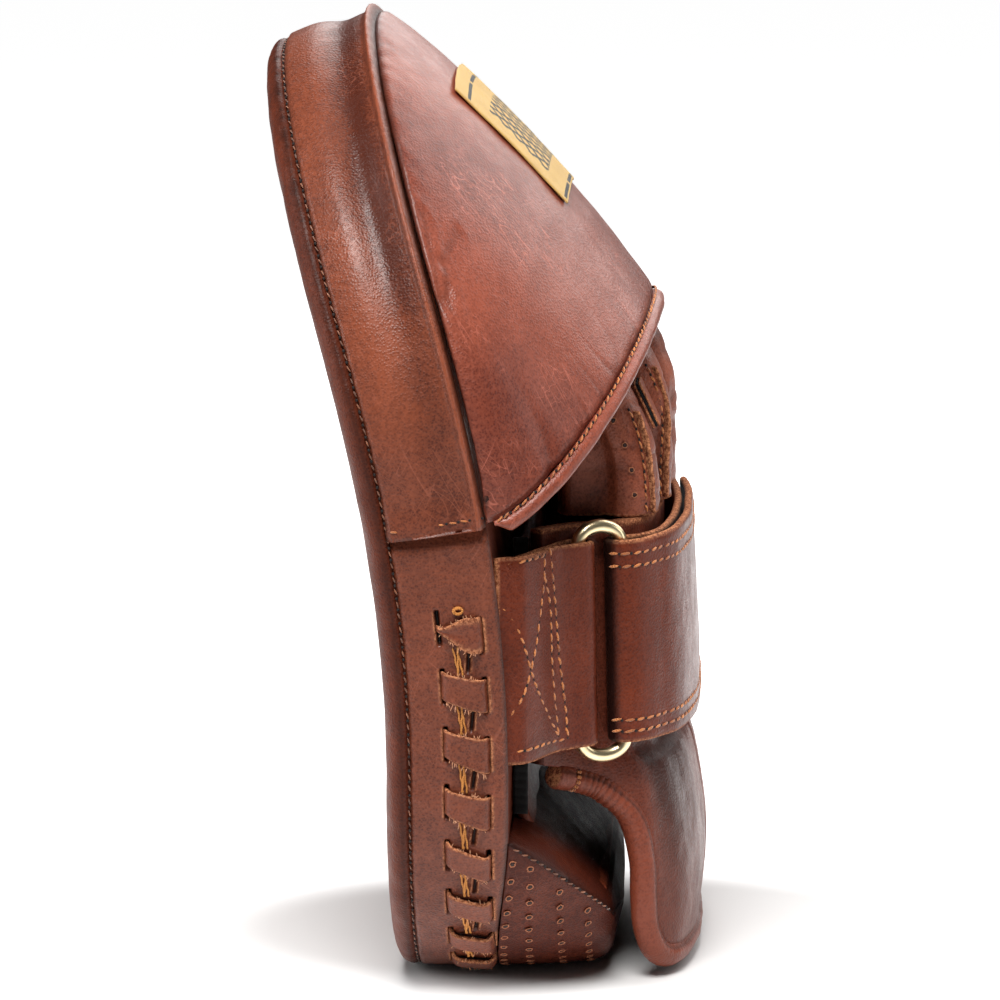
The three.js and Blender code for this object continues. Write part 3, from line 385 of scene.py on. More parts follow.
class Look:
    """A material's node tree, with short calls to add and join nodes."""

    def __init__(self, name):
        self.material = bpy.data.materials.new(name)
        self.material.use_nodes = True
        self.tree = self.material.node_tree
        self.shader = self.tree.nodes["Principled BSDF"]
        self.spot = self.add("ShaderNodeTexCoord").outputs["Object"]

    def add(self, kind, **given):
        """A new node with the given settings."""
        node = self.tree.nodes.new(kind)
        for key, value in given.items():
            setattr(node, key, value)
        return node

    def fill(self, node, values, output=0):
        """Joins sockets to a node's inputs, or sets the inputs to numbers, and gives its output."""
        for key, value in values.items():
            if isinstance(value, bpy.types.NodeSocket):
                self.tree.links.new(value, node.inputs[key])
            else:
                node.inputs[key].default_value = value
        return node.outputs[output]

    def set(self, **values):
        """Fills the shader's inputs, with _ for a space in their names."""
        self.fill(self.shader, {key.replace("_", " "): value for key, value in values.items()})

    def math(self, kind, *values, clamp=False):
        """One step of arithmetic."""
        return self.fill(self.add("ShaderNodeMath", operation=kind, use_clamp=clamp), dict(enumerate(values)))

    def plus(self, *values, clamp=False):
        """The sum of all the values, clamped to 0 to 1 after the last one when asked."""
        total = values[0]
        for k, value in enumerate(values[1:], 2):
            total = self.math("ADD", total, value, clamp=clamp and k == len(values))
        return total

    def times(self, a, b, clamp=False):
        """The product of two values."""
        return self.math("MULTIPLY", a, b, clamp=clamp)

    def off(self, value, centre):
        """How far a value is from a centre, either way."""
        return self.math("ABSOLUTE", self.math("SUBTRACT", value, centre))

    def mix(self, share, a, b):
        """Colour a at share 0, colour b at share 1."""
        return self.fill(self.add("ShaderNodeMix", data_type="RGBA"), {0: share, 6: a, 7: b}, 2)

    def ramp(self, value, low, high, to=(0.0, 1.0)):
        """A smooth step between two values, from the first of to to the second."""
        node = self.add("ShaderNodeMapRange", interpolation_type="SMOOTHSTEP")
        return self.fill(node, dict(enumerate((value, low, high, *to))))

    def noise(self, scale, detail=4.0, rough=0.55, stretch=None):
        """Noise in the piece's own place. stretch is its turn about X and how much longer it is along Z."""
        spot = self.spot
        if stretch:
            turned = self.add("ShaderNodeMapping", vector_type="TEXTURE")
            turn = {"Rotation": (stretch[0], 0, 0), "Scale": (1, 1, stretch[1])}
            spot = self.fill(turned, {"Vector": spot, **turn})
        given = {"Vector": spot, "Scale": scale, "Detail": detail, "Roughness": rough}
        return self.fill(self.add("ShaderNodeTexNoise"), given, "Fac")

    def cells(self, scale, feature="F1"):
        """Distance to the middle of the nearest cell, or to its edge."""
        node = self.add("ShaderNodeTexVoronoi", feature=feature)
        return self.fill(node, {"Vector": self.spot, "Scale": scale}, "Distance")

    def mark(self, name):
        """A mark painted into the mesh."""
        return self.add("ShaderNodeAttribute", attribute_name=name).outputs["Fac"]

    def bump(self, height, distance, strength=1.0, after=None):
        """A relief of so many metres, laid over another one when given."""
        given = {"Height": height, "Distance": distance, "Strength": strength}
        if after is not None:
            given["Normal"] = after
        return self.fill(self.add("ShaderNodeBump"), given)

# %% [markdown]
# One function mixes every hide from the same layers, so the pieces differ only in colour, gloss and wear.

# %% Leather
def leather(name, deep, light, rough=0.42, crease=0.5, grain=1.0, coat=0.12, scratch=0.5, ior=1.36):
    """Waxed hide: patches, mottling, pebbles and pale scratches, painted shade in grooves and marked hollows,
    suede on raw faces.
    """
    look = Look(name)
    patch = look.ramp(look.noise(14, 2), 0.34, 0.66)
    mottle = look.ramp(look.noise(125, 5, 0.65), 0.36, 0.66)
    pebble = look.cells(1500)
    speck = look.ramp(look.noise(900, 5, 0.7), 0.36, 0.64)
    values = (patch, mottle, look.ramp(pebble, 0.2, 0.62), speck, look.mark("worn"))
    shares = (0.12, 0.2, 0.27, 0.28, 0.55)
    tone = look.plus(0.065, *[look.times(value, share) for value, share in zip(values, shares)], clamp=True)
    colour = look.mix(tone, srgb(*deep), srgb(*light))
    lines = []
    for k, turned in enumerate((0.5, -0.45, 1.0)):
        streak = look.noise(300 + 90 * k, 0, 0.5, (turned, 22.0))
        lines.append(look.ramp(look.off(streak, 0.5), 0.0, 0.016, (1.0, 0.0)))
    faint = look.math("MAXIMUM", look.math("MAXIMUM", *lines[:2]), lines[2])
    faint = look.times(faint, look.ramp(look.noise(42, 3), 0.48, 0.64))
    pale = tuple(min(1.0, c * 1.6 + 0.03) for c in srgb(*light)[:3]) + (1.0,)
    colour = look.mix(look.times(faint, scratch), colour, pale)
    # Painted shade: grooves, seams and creases are darkened towards near black.
    colour = look.mix(look.times(look.mark("groove"), 0.85, clamp=True), colour, srgb(24, 9, 6))
    fibre = look.noise(1900, 4, 0.7)
    suede = look.mix(fibre, srgb(22, 10, 7), srgb(50, 26, 18))
    colour = look.mix(look.mark("lining"), colour, suede)
    tan = look.mix(look.ramp(look.noise(1300, 3, 0.7), 0.35, 0.65), srgb(104, 52, 32), srgb(206, 138, 96))
    uneven = look.ramp(look.noise(700, 3), 0.2, 0.5, (0.55, 1.0))
    colour = look.mix(look.times(look.mark("raw"), uneven, clamp=True), colour, tan)
    # Painted shade: slits, hidden faces and the strap's turn round the ring go near black.
    colour = look.mix(look.mark("dark"), colour, (0.004, 0.003, 0.003, 1.0))
    dull = look.math("MAXIMUM", look.mark("raw"), look.mark("lining"))
    fine = look.plus(look.times(mottle, -0.08), look.times(speck, 0.08), rough + 0.04)
    shine = look.plus(fine, look.times(dull, 0.65), clamp=True)
    relief = look.bump(look.ramp(look.cells(95, "DISTANCE_TO_EDGE"), 0.0, 0.05), 0.00012, 0.1 * crease)
    relief = look.bump(look.noise(700, 4, 0.7), 0.0003, 0.2, relief)
    relief = look.bump(look.ramp(pebble, 0.75, 0.1), 0.00008, 0.9 * grain, relief)
    relief = look.bump(look.times(fibre, dull), 0.0004, 0.6, relief)
    look.set(Base_Color=colour, Roughness=shine, Normal=relief, IOR=ior, Coat_Weight=coat, Coat_Roughness=0.2)
    return look.material

# %% [markdown]
# Holes, fibres, brass and elastic need less: two colours mixed by noise. Thread has slanting ridges too.

# %% Plain surfaces and threads
def plain(name, low, high, scale, rough, metal=0.0, bump=0.0002):
    """Two colours mixed by fine noise, with a matching bump."""
    look = Look(name)
    fine = look.noise(scale, 4, 0.65)
    colour = look.mix(fine, srgb(*low), srgb(*high))
    look.set(Base_Color=colour, Normal=look.bump(fine, bump, 0.6), Roughness=rough, Metallic=metal)
    return look.material


def thread(name, low, high):
    """Twisted thread: each stitch has its own tone, and the twist shows as slanting ridges."""
    look = Look(name)
    tone = look.plus(look.times(look.mark("worn"), 0.6), look.times(look.noise(2500), 0.5))
    twist = look.add("ShaderNodeTexWave", wave_type="BANDS", bands_direction="DIAGONAL")
    ridges = look.bump(look.fill(twist, {"Vector": look.spot, "Scale": 620}, "Fac"), 0.00018, 0.7)
    colour = look.mix(tone, srgb(*low), srgb(*high))
    look.set(Base_Color=colour, Normal=ridges, Roughness=0.55, Sheen_Weight=0.3)
    return look.material

# %% [markdown]
# Each kind of piece has its own colours, because the photo's differ: those of the pad and the straps are
# darkest. The finger stalls' hide is painted palest, as painted light on stalls that stand in shade.

# %% Looks
panel_look = leather("panel_leather", (66, 23, 11), (114, 52, 31), 0.44, 0.6, 1.0, 0.0, 0.2, 1.28)
gusset_look = leather("gusset_leather", (70, 28, 15), (132, 68, 45), 0.36, 0.35, 1.0, 0.08, 0.3)
hood_look = leather("hood_leather", (86, 35, 24), (144, 74, 55), 0.34, 0.5, 0.8, 0.08, 0.6)
strap_look = leather("strap_leather", (70, 24, 11), (112, 48, 27), 0.3, 0.3, 0.7, 0.03, 0.25, 1.28)
glove_look = leather("glove_leather", (70, 27, 16), (122, 60, 42), 0.35, 0.7, 0.9, 0.0, 0.3, 1.32)
# Painted light: the stalls' hide is paler than the rest, to light them where the hood shades them.
stall_look_painted_light = leather("stall_leather_painted_light", (92, 39, 23), (158, 86, 62), 0.33, 0.7, 0.9, 0.0, 0.3)
seam_thread = thread("seam_thread", (56, 25, 13), (146, 88, 54))
strap_thread = thread("strap_thread", (124, 60, 22), (210, 128, 62))
# Painted shade: near-black colours for the insides of stitch holes and punched holes.
hole_shade_look = plain("stitch_hole_shade", (12, 5, 3), (26, 10, 7), 900, 0.8)
punch_shade_look = plain("punched_hole_shade", (26, 11, 7), (52, 24, 16), 900, 0.7)
knot_look = plain("knot_thread", (150, 84, 28), (220, 150, 72), 1600, 0.7)
print("materials", len(bpy.data.materials))

# %% [markdown]
# The striking pad. Its face is one padded hide that rolls over a foam slab to the seam with the gusset. A
# subdivided box would give a puffy cushion, so the face is laid out in rings round the outline: the
# middle dishes in, the border rolls over, and short puckers run in from the seam where the hide is pulled
# round the tight crown. A cloth simulation could puff the hide, but its edge has to stay on the seam, so
# folds and puckers are placed in code.

# %% Strike panel
ROUND, FACE_RINGS = 600, 26
ROLL = [(0.9, 0.1), (0.25, -0.9), (1.4, -3.3), (4.5, -5.04), (10, -5.88), (17, -6.0), (20, -5.9)]
d_round = np.linspace(0, 2 * HALF, ROUND, endpoint=False)
roll = curve(ROLL, 34)[::-1]
share = np.linspace(1, 0, FACE_RINGS)[:, None]
xo, so, nxo, nso = outline(d_round)
middle_s = (CROWN_RISE + CROWN_R) / 2
flat_x = (xo - FACE_ROLL * nxo) * (1 - share)
flat_s = (so - FACE_ROLL * nso) * (1 - share) + middle_s * share
face = bent(flat_x, flat_s, FACE_SEAM - FACE_DEEP + FACE_DISH * (1 - (1 - share) ** 1.6))
border = rim(d_round[None], roll[:, :1], FACE_SEAM + roll[:, 1:])
rings = np.concatenate([face, border[1:]])
from_seam = np.concatenate([np.full(FACE_RINGS, 25.0), roll[1:, 0]])[:, None]
out = -ring_normals(rings)
out *= np.sign(-out[20, :, 1].mean())
crown = smooth(150, 235, so)[None]
pull = 0.1 * np.sin(2 * PI * d_round / 8.2 + 2.4 * waves(border[-1], 30, 5)) * np.exp(-from_seam / 3.2)
fold_at = rings * [1, 0.5, 1.6] + rings[..., :1] * 0.6
crinkle = -0.35 * creases(fold_at, 17, 8) * np.exp(-from_seam / 9) * (0.02 + 0.7 * crown)
dent = pull + crinkle + 0.3 * waves(rings, 60, 2) * smooth(3, 12, from_seam) + 0.1 * waves(rings, 11, 3)
rings = rings + out * dent[..., None]
sides = [(3.2, FACE_SEAM + 1.5), (4.6, FACE_SEAM + 4), (4.6, 9.5), (5.5, 10.6)]
core = [rim(d_round, inset, t) for inset, t in sides]
core.append(bent(0 * xo, 0 * so + middle_s, 10.6))
p = np.concatenate([rings, np.stack(core)])
# Painted shade: the slab's hidden sides under the gusset go near black, and the seam's groove and the creases
# are darkened.
dark = np.zeros(p.shape[:2])
dark[len(rings) :] = 0.85
groove = np.zeros(p.shape[:2])
groove[: len(rings)] = np.exp(-from_seam / 0.8) + 0.35 * np.clip(-crinkle / 0.3, 0, 1)
strike_panel = tube("strike_panel_padded", p, panel_look, {"dark": dark, "groove": groove})
slots([strike_panel], ("strike_panel", "pad_core"))

BACK_INSET = 2.3
xb, sb, nxb, nsb = outline(np.linspace(0, 2 * HALF, 240, endpoint=False))
back = []
for t, shares in ((10.8, np.linspace(1, 0, 6)), (BACK_FACE, np.linspace(0, 1, 40))):
    k = shares[:, None]
    grid = bent((xb - BACK_INSET * nxb) * (1 - k), (sb - BACK_INSET * nsb) * (1 - k) + middle_s * k, t)
    swell = 0.2 * waves(grid, 25, 4) * (t == BACK_FACE) * np.minimum(1, 8 * k)
    back.append(grid + np.array([0, 1, 0]) * swell[..., None])
back_panel = tube("back_panel_hide", np.concatenate(back), panel_look)
slots([back_panel], ("back_panel",))
print("pad faces", len(strike_panel.data.polygons), len(back_panel.data.polygons))

# %% [markdown]
# The gusset is the band round the pad, in an upper and a lower piece that lap at a stitched joint. The
# upper piece swells a little, sinks along its middle near the crown and rises in a ridge where the hood
# is sewn on. The lower piece is laced: each lace bar goes down into a slit at both sides, and the cut
# lips stand up and show raw hide.

# %% Gussets
FRONT_EDGE = FACE_SEAM + CLEAR


def gusset_rings(d, t, offset):
    """Rings of a gusset: the outer face at the given offsets, then the inner face 2.2 mm under it."""
    few = slice(None, None, max(1, t.shape[1] // 6))
    outer = rim(d[:, None], -offset, t)
    inner = rim(d[:, None], 2.2 - offset[:, ::-1][:, few], t[..., ::-1][:, few])
    return np.concatenate([outer, inner], 1)


def outer_marks(rings, columns, lining=0.0, **marks):
    """Marks of the rings' first columns, with nought for the inner face after them, which can be suede."""
    full = {}
    for mark, values in marks.items():
        values = np.broadcast_to(values, (len(rings), columns))
        full[mark] = np.pad(values, ((0, 0), (0, rings.shape[1] - columns)))
    full["lining"] = np.broadcast_to(lining * (np.arange(rings.shape[1]) >= columns), rings.shape[:2])
    return full


def steps(*runs):
    """Even steps over one run after another, each given by its start, end and number of points."""
    parts = [np.linspace(*run) for run in runs]
    return np.concatenate([part[:-1] for part in parts[:-1]] + parts[-1:])


d = np.linspace(JOINT_AT - 0.6, 2 * HALF - JOINT_AT + 0.6, 330)
q = steps((0, 0.1, 9), (0.1, 0.72, 18), (0.72, 1, 22))
d_grid, q_grid = np.meshgrid(d, q, indexing="ij")
width = BACK_FACE - FRONT_EDGE
from_front, from_back = q_grid * width, (1 - q_grid) * width
end = np.minimum(d_grid - d[0], d[-1] - d_grid)
spot = rim(d_grid, 0, FRONT_EDGE + from_front)
height = outline(d)[1][:, None]
hollow = 1.9 * hump(height - 214, 34) + 0.9
offset = 1.4 * np.sin(PI * q_grid) - 1.5 * hump(from_front, 1.0)
offset = offset - hollow * hump(q_grid - 0.62, 0.19)
offset = offset + 1.8 * hump(from_back - 1.5, 1.05) - 1.3 * hump(from_back, 0.5)
offset = offset + 0.3 * waves(spot, 42, 11) + 0.07 * waves(spot, 9, 12)
tucks = np.sin(2 * PI * d_grid / 6.6 + 2 * waves(spot, 26, 13))
offset = offset + 0.2 * tucks * np.exp(-from_front / 2.6) + 0.16 * tucks * np.exp(-from_back / 3.0)
offset = offset + 0.9 * (1 - smooth(1.5, 9, end))
p = gusset_rings(d, FRONT_EDGE + from_front, offset)
# Painted shade at both seams and in the puckers' troughs.
groove = hump(from_front, 0.7) + hump(from_back, 0.5)
groove = groove + 0.2 * np.clip(-tucks, 0, 1) * np.exp(-from_front / 2)
# The wear mark adds a painted highlight along the ridge and on a patch of the middle, and painted shade in the
# valley near the crown.
painted_highlight = 0.7 * hump(d_grid - 245, 26) * hump(q_grid - 0.42, 0.22)
painted_valley_shade = (0.4 + 1.0 * smooth(165, 205, height)) * hump(q_grid - 0.7, 0.19)
worn = 0.9 * hump(from_back - 1.5, 0.6) + 0.2 * waves(spot, 60, 14) + painted_highlight - painted_valley_shade
upper_gusset = tube("upper_gusset_hide", p, gusset_look, outer_marks(p, len(q), groove=groove, worn=worn))
slots([upper_gusset], ("upper_gusset",))

# %% [markdown]
# The lower gusset has a fine grid where the lace runs, and a coarse one on the far side. Slits could be
# cut through it, but a narrow valley between two raised raw lips, with painted shade in it, looks the
# same and stays closed.

# %% Lower gusset
bar_place = along_side(LACE_TOP) - LACE_PITCH * np.arange(LACE_BARS)
d_laced = np.concatenate([np.arange(50, 178, 0.42), np.arange(178, JOINT_AT + 3, 0.9)])
d = np.concatenate([np.arange(-JOINT_AT - 3, 50, 1.5), d_laced])
t_low = np.concatenate([np.arange(FRONT_EDGE, FRONT_EDGE + 2, 0.28), np.arange(FRONT_EDGE + 2, -5, 0.8)])
t_line = np.concatenate([t_low, np.arange(-5, 10, 0.3), np.linspace(10, BACK_FACE, 8)])
d_grid, t_grid = np.meshgrid(d, t_line, indexing="ij")
rise = outline(d)[1][:, None]
narrow = FOOT_NARROW * (1 - smooth(2, 50, rise))
t_grid = t_grid - narrow * smooth(0, BACK_FACE, t_grid)
from_front = t_line[None] - FRONT_EDGE
from_back = BACK_FACE - t_line[None]
spot = rim(d_grid, 0, t_grid)
offset = 0.3 * waves(spot, 38, 21) + 0.07 * waves(spot, 8, 22) - 1.5 * hump(from_front, 1.0)
offset = offset - 0.9 * hump(from_back, 0.8) - 1.7 * smooth(JOINT_AT - 5, JOINT_AT, np.abs(d_grid))
offset = offset * smooth(0.3, 3.5, rise) - 0.05
tucks = np.sin(2 * PI * d_grid / 7.4 + 2 * waves(spot, 30, 23))
offset = offset + 0.12 * tucks * np.exp(-from_front / 2.4)
raw = np.zeros_like(offset)
dark = np.zeros_like(offset)
SLIT_LIPS = {
    # side: the lip's distance from the slit, width, height and rawness
    -1: (0.85, 0.3, 0.4, 0.75),
    1: (1.0, 0.42, 0.55, 0.95),
}
# Painted shade darkens each slit and each slanting cut between the bars.
for k, place in enumerate(bar_place):
    for side, (lip_at, lip_wide, lip_high, rawness) in SLIT_LIPS.items():
        away = np.abs(d_grid - (place - side * 1.4))
        off = (t_grid - (LACE_ACROSS + side * (LACE_REACH / 2 + 0.35))) * side
        inside = 1 - smooth(3.9, 4.9, away)
        lip = hump(off - lip_at, lip_wide) * inside
        offset = offset - 2.0 * hump(off, 0.62, 4) * inside + lip_high * lip
        dark = np.maximum(dark, hump(off, 0.55, 6) * inside)
        raw = np.maximum(raw, rawness * lip)
    if k:
        away = np.abs(d_grid - (place + LACE_PITCH / 2))
        off = t_grid - (LACE_ACROSS + 1.6 + 0.12 * (d_grid - place - LACE_PITCH / 2))
        inside = 1 - smooth(2.6, 3.4, away)
        offset = offset - 1.2 * hump(off, 0.45, 4) * inside
        dark = np.maximum(dark, 0.9 * hump(off, 0.42, 4) * inside)
        for side in (-1, 1):
            lip = hump(off - side * 0.85, 0.25) * inside
            raw = np.maximum(raw, 0.85 * lip)
            offset = offset + 0.3 * lip
        sink = hump(t_grid - LACE_ACROSS, 3.2, 4) * inside
        offset = offset - 0.35 * sink
p = gusset_rings(d, t_grid, offset)
# Painted shade at both seams, and painted shade that deepens towards the floor.
groove = hump(from_front, 0.7) + 0.8 * hump(from_back, 0.6)
worn = 0.2 * waves(spot, 45, 24) - 0.7 * (1 - smooth(4, 60, rise))
marks = outer_marks(p, len(t_line), groove=groove, raw=raw, dark=dark, worn=worn)
slots([tube("lower_gusset_hide", p, gusset_look, marks)], ("lower_gusset",))

# %% [markdown]
# The lace is one strip of hide, seen only where it crosses over in slanting bars. Each bar is its own
# curved sheet with furry cut edges. The table gives each bar's half width at its front and rear end, as
# the photo shows them: the first is pinched at the front under a knot of golden thread, and they get
# smaller towards the floor.

# %% Lace
LACE = [
    # half width in front, half width behind, extra slant, lift
    (0.7, 4.6, -0.3, 0.35),
    (3.6, 4.3, 0.2, 0.0),
    (3.5, 4.6, 0.3, 0.15),
    (3.3, 4.4, 0.2, 0.1),
    (3.2, 3.6, 0.9, -0.1),
    (3.1, 3.5, 0.4, 0.0),
    (3.1, 3.6, 0.3, 0.05),
    (3.0, 3.4, 0.2, -0.05),
]
LACE_THICK, BAR_RUN, FIBRES = 1.2, LACE_REACH + 1.4, 15


def segments(lines):
    """The starts and ends of the short runs of several lines."""
    return np.concatenate([line[:-1] for line in lines]), np.concatenate([line[1:] for line in lines])


bars, fibres = [], []
rng = np.random.default_rng(7)
u, v = edge_shares(BAR_RUN, LACE_THICK, 0.45), edge_shares(LACE_WIDTH, LACE_THICK, 0.4)
uu, vv = np.meshgrid(u, v, indexing="ij")
aside = np.abs(2 * vv - 1)
for k, (front, rear, slant, lift) in enumerate(LACE):
    pinched = k == 0
    half = front + (rear - front) * (smooth(0.0, 0.75, uu) if pinched else uu)
    d_bar = bar_place[k] + (1 - 2 * uu) * (1.5 + slant) + (2 * vv - 1) * half - 0.35 * np.sin(PI * uu)
    over = -1.6 + (2.75 + lift) * (1 - np.abs(2 * uu - 1) ** 8) + 0.2 * aside**2
    over = over - 0.5 * pinched * (1 - uu) * (1 - aside)
    grid = rim(d_bar, -over, LACE_ACROSS + BAR_RUN * (uu - 0.5))
    size = (BAR_RUN, 2 * min(front, rear) + 1)
    dent = 0.12 * waves(grid, 5, 30 + k)
    bars.append(sheet(f"lace_bar_{k + 1}", grid, u, v, size, LACE_THICK, gusset_look, dent))
    nx, ns = outline(bar_place[k])[2:]
    up = np.array([nx, 0, ns])
    for row, way in ((0, -1), (-1, 1)):
        at = sample(rng.uniform(0.08, 0.92, FIBRES), u, grid[:, row])
        ahead = np.array([-ns, 0, nx]) * way * rng.uniform(0.3, 1.2, (FIBRES, 1))
        tip = at + ahead + up * rng.uniform(-0.1, 0.9, (FIBRES, 1)) + rng.normal(0, 0.35, (FIBRES, 3))
        fibres.append((at + up * 0.2, tip, np.tile(up, (FIBRES, 1))))
slots(bars, ("lace",))
fibre_look = plain("raw_fibre", (168, 102, 66), (236, 178, 138), 900, 0.8)
start, stop, up = (np.concatenate(part) for part in zip(*fibres))
capsules("lace_fibres", start, stop, up, 0.17, 0.17, fibre_look)
strands = []
for place in bar_place[1:] + LACE_PITCH / 2:
    for j in range(3):
        d_run = np.linspace(place + 3.6, place - 3.6, 12)
        sway = 0.9 * np.linspace(-0.5, 0.5, 12) * (1 if j != 1 else -0.6) + 0.1 * np.sin(d_run * 2.1 + j)
        strands.append(rim(d_run, -0.35 - 0.12 * (j == 1), LACE_ACROSS - 1.5 + 0.5 * j + sway))
start, stop = segments(strands)
stretch = (stop - start) * 0.35
sideways = np.tile([1.0, 0, 0.05], (len(start), 1))
capsules("lace_strands", start - stretch, stop + stretch, sideways, 0.55, 0.5, knot_look)
loops = []
for _ in range(12):
    first = rng.uniform(0, 2 * PI)
    size = rng.uniform(0.6, 1.5)
    angle = np.linspace(first, first + rng.uniform(2, 4.5), 9)
    d_loop = bar_place[0] + 5.6 + size * 0.75 * np.sin(angle)
    loops.append(rim(d_loop, -0.4 - rng.uniform(0, 0.9), LACE_ACROSS + 0.3 + size * np.cos(angle)))
start, stop = segments(loops)
capsules("lace_knot", start, stop, np.tile([1.0, 0, 0], (len(start), 1)), 0.5, 0.5, knot_look)
print("lace", len(bars), "bars", FIBRES * len(fibres), "fibres")

# %% [markdown]
# The hood is a padded shell from the crown's seam to an open mouth over the fingers. Ribs run from the
# seam to the mouth, each a chord with a bulge. Soft dents, puckers at the seam and fine creases at the
# mouth are added along the normals, since a smooth shell looks like plastic. A simulated shell would sag
# off its seam and its mouth's line.

# %% Hood
RUN = 2 * (HALF - JOINT_AT - CORNER_RIB)


def hood_point(across, down):
    """foot + (mouth - foot) down + bulge: the mouth is half an ellipse with its middle raised."""
    across, down = np.broadcast_arrays(np.asarray(across, float), down)
    x, s, nx, ns = outline(JOINT_AT + CORNER_RIB + RUN * across)
    foot = np.stack([x - 0.4 * nx, s - 0.4 * ns, np.full_like(x, SEAT)], -1)
    cx, cs = outline(JOINT_AT)[:2]
    high = np.sin(PI * across)
    mouth = [(cx - 0.4) * np.cos(PI * across), cs + MOUTH_RISE * high**1.4, SEAT + HOOD_DEPTH * high]
    mouth = np.stack(mouth, -1)
    chord = unit(mouth - foot)
    outward = np.stack([nx, ns, np.ones_like(nx)], -1)
    outward = unit(outward - chord * (outward * chord).sum(-1, keepdims=True))
    swell = HOOD_BULGE * np.sqrt(high) * (down**0.7 * (1 - down) ** 1.3) / 0.271
    p = foot + (mouth - foot) * down[..., None] + outward * swell[..., None]
    return bent(p[..., 0], p[..., 1], np.maximum(p[..., 2], SEAT))


def hood_grid(across, down, depth=0.0, along=0.0):
    """Points off the hood's face by a depth along its normal, and past its mouth by a length."""
    step = 1e-3
    a, w = np.broadcast_arrays(np.asarray(across, float), down)
    left, right = hood_point(np.clip(a - step, 0, 1), w), hood_point(np.clip(a + step, 0, 1), w)
    up, low = hood_point(a, np.clip(w - step, 0, 1)), hood_point(a, np.clip(w + step, 0, 1))
    rib, round_ = unit(low - up), unit(right - left)
    normal = unit(np.cross(rib, round_))
    normal = normal * np.sign((normal * [0, 1, 0.3]).sum(-1, keepdims=True).mean())
    p = hood_point(a, w) + normal * np.asarray(depth)[..., None] + rib * np.asarray(along)[..., None]
    return p, normal


PLEATS = [
    # from (across, down) to (across, down), depth, width
    (0.235, 0.235, 0.187, 0.128, 0.35, 1.7),
    (0.187, 0.128, 0.15, 0.11, 0.45, 1.9),
    (0.165, 0.118, 0.128, 0.0, 0.5, 2.0),
    (0.222, 0.06, 0.15, 0.05, 0.4, 1.7),
    (0.401, 0.0, 0.416, 0.045, 0.22, 1.3),
    (0.38, 0.0, 0.397, 0.05, 0.2, 1.3),
]
aa, ww = np.meshgrid(
    steps((0, 0.06, 14), (0.06, 0.94, 420), (0.94, 1, 14)),
    steps((0, 0.3, 36), (0.3, 1, 56)),
    indexing="ij",
)
flat, _ = hood_grid(aa, ww)
rib_run = np.linalg.norm(flat[:, -1] - flat[:, 0], axis=-1)[:, None]
from_seam, from_mouth = ww * rib_run, (1 - ww) * rib_run
tucks = np.sin(2 * PI * aa * RUN / 8.6 + 2.6 * waves(flat, 30, 41))
offset = -1.1 * hump(from_seam, 0.9) + 0.1 * tucks * np.exp(-from_seam / 5)
offset = offset + 0.55 * waves(flat, 55, 42) * smooth(2, 14, from_seam) + 0.1 * waves(flat, 12, 43)
offset = offset - 0.8 * hump(from_mouth, 1.1)
lines = creases(np.stack([aa * 130, ww * 9, aa * 0], -1), 7, 44)
offset = offset - 0.3 * lines * np.exp(-from_mouth / 9) * smooth(0.08, 0.3, np.minimum(aa, 1 - aa))
for centre, slope, deep in ((0.13, 0.05, 0.9), (0.2, 0.03, 0.7), (0.85, -0.04, 0.8)):
    valley = (aa - centre - slope * (1 - ww)) * RUN
    offset = offset - deep * hump(valley, 4.5) * np.exp(-from_mouth / 13)
pleat_mark = np.zeros_like(aa)
for a0, w0, a1, w1, deep, wide in PLEATS:
    way = np.array([(a1 - a0) * RUN, (w1 - w0) * 75])
    from_start = np.stack([(aa - a0) * RUN, (ww - w0) * rib_run], -1)
    share = np.clip((from_start @ way) / (way @ way), 0, 1)
    away = np.linalg.norm(from_start - share[..., None] * way, axis=-1)
    valley = hump(away, wide) - 0.3 * hump(away - 2.4 * wide, wide)
    offset = offset - 0.7 * deep * valley
    pleat_mark = np.maximum(pleat_mark, deep * hump(away, 0.6 * wide))
grown, _ = hood_grid(aa, ww, offset)
inner, _ = hood_grid(aa[:, ::-3], ww[:, ::-3], -HOOD_WALL + 0.4 * offset[:, ::-3])
p = np.concatenate([grown, inner], 1)
# Painted shade at the seam, in the creases near the mouth and in the pleats.
groove = hump(from_seam, 1.4) + 0.3 * lines * np.exp(-from_mouth / 8) + 0.8 * pleat_mark
worn = 0.5 * waves(flat, 70, 45) + 0.3 * np.clip(tucks, 0, 1) * np.exp(-from_seam / 4)
hood = tube("hood_padded", p, hood_look, outer_marks(p, aa.shape[1], 1.0, groove=groove, worn=worn))
slots([hood], ("hood",))
print("hood", len(hood.data.polygons), "faces")

# %% [markdown]
# The hem is the hide turned over at the hood's mouth: a soft roll along the edge, with slanting stitches.

# %% Hood hem
across = np.linspace(0.012, 0.988, 420)
angle = np.linspace(0, 2 * PI, 18, endpoint=False)
plump = (0.3 + 0.7 * smooth(0.012, 0.035, np.minimum(across, 1 - across)))[:, None]
run, thick = plump * (2.35 + 2.15 * np.cos(angle)), plump * (-1.5 + 2.15 * np.sin(angle))
soft = 0.12 * waves(hood_point(across, np.ones(420)), 9, 46)[:, None]
hem_p, _ = hood_grid(across[:, None] + 0 * run, np.ones((420, 18)), thick + soft * np.sin(angle), run + soft)
hood_hem = tube("hood_hem_fold", hem_p, hood_look, {"worn": 0.35 + 0.3 * waves(hem_p, 20, 47)})
slots([hood_hem], ("hood_hem",))
hem_line, hem_up = hood_grid(across, np.ones(420), 0.05, 0.15)
HEM_STITCH = {"pitch": 2.65, "length": 2.1, "width": 0.6, "slant": 20, "lift": 0.15}
stitches("hem_stitches", hem_line, hem_up, strap_thread, seed=3, **HEM_STITCH)

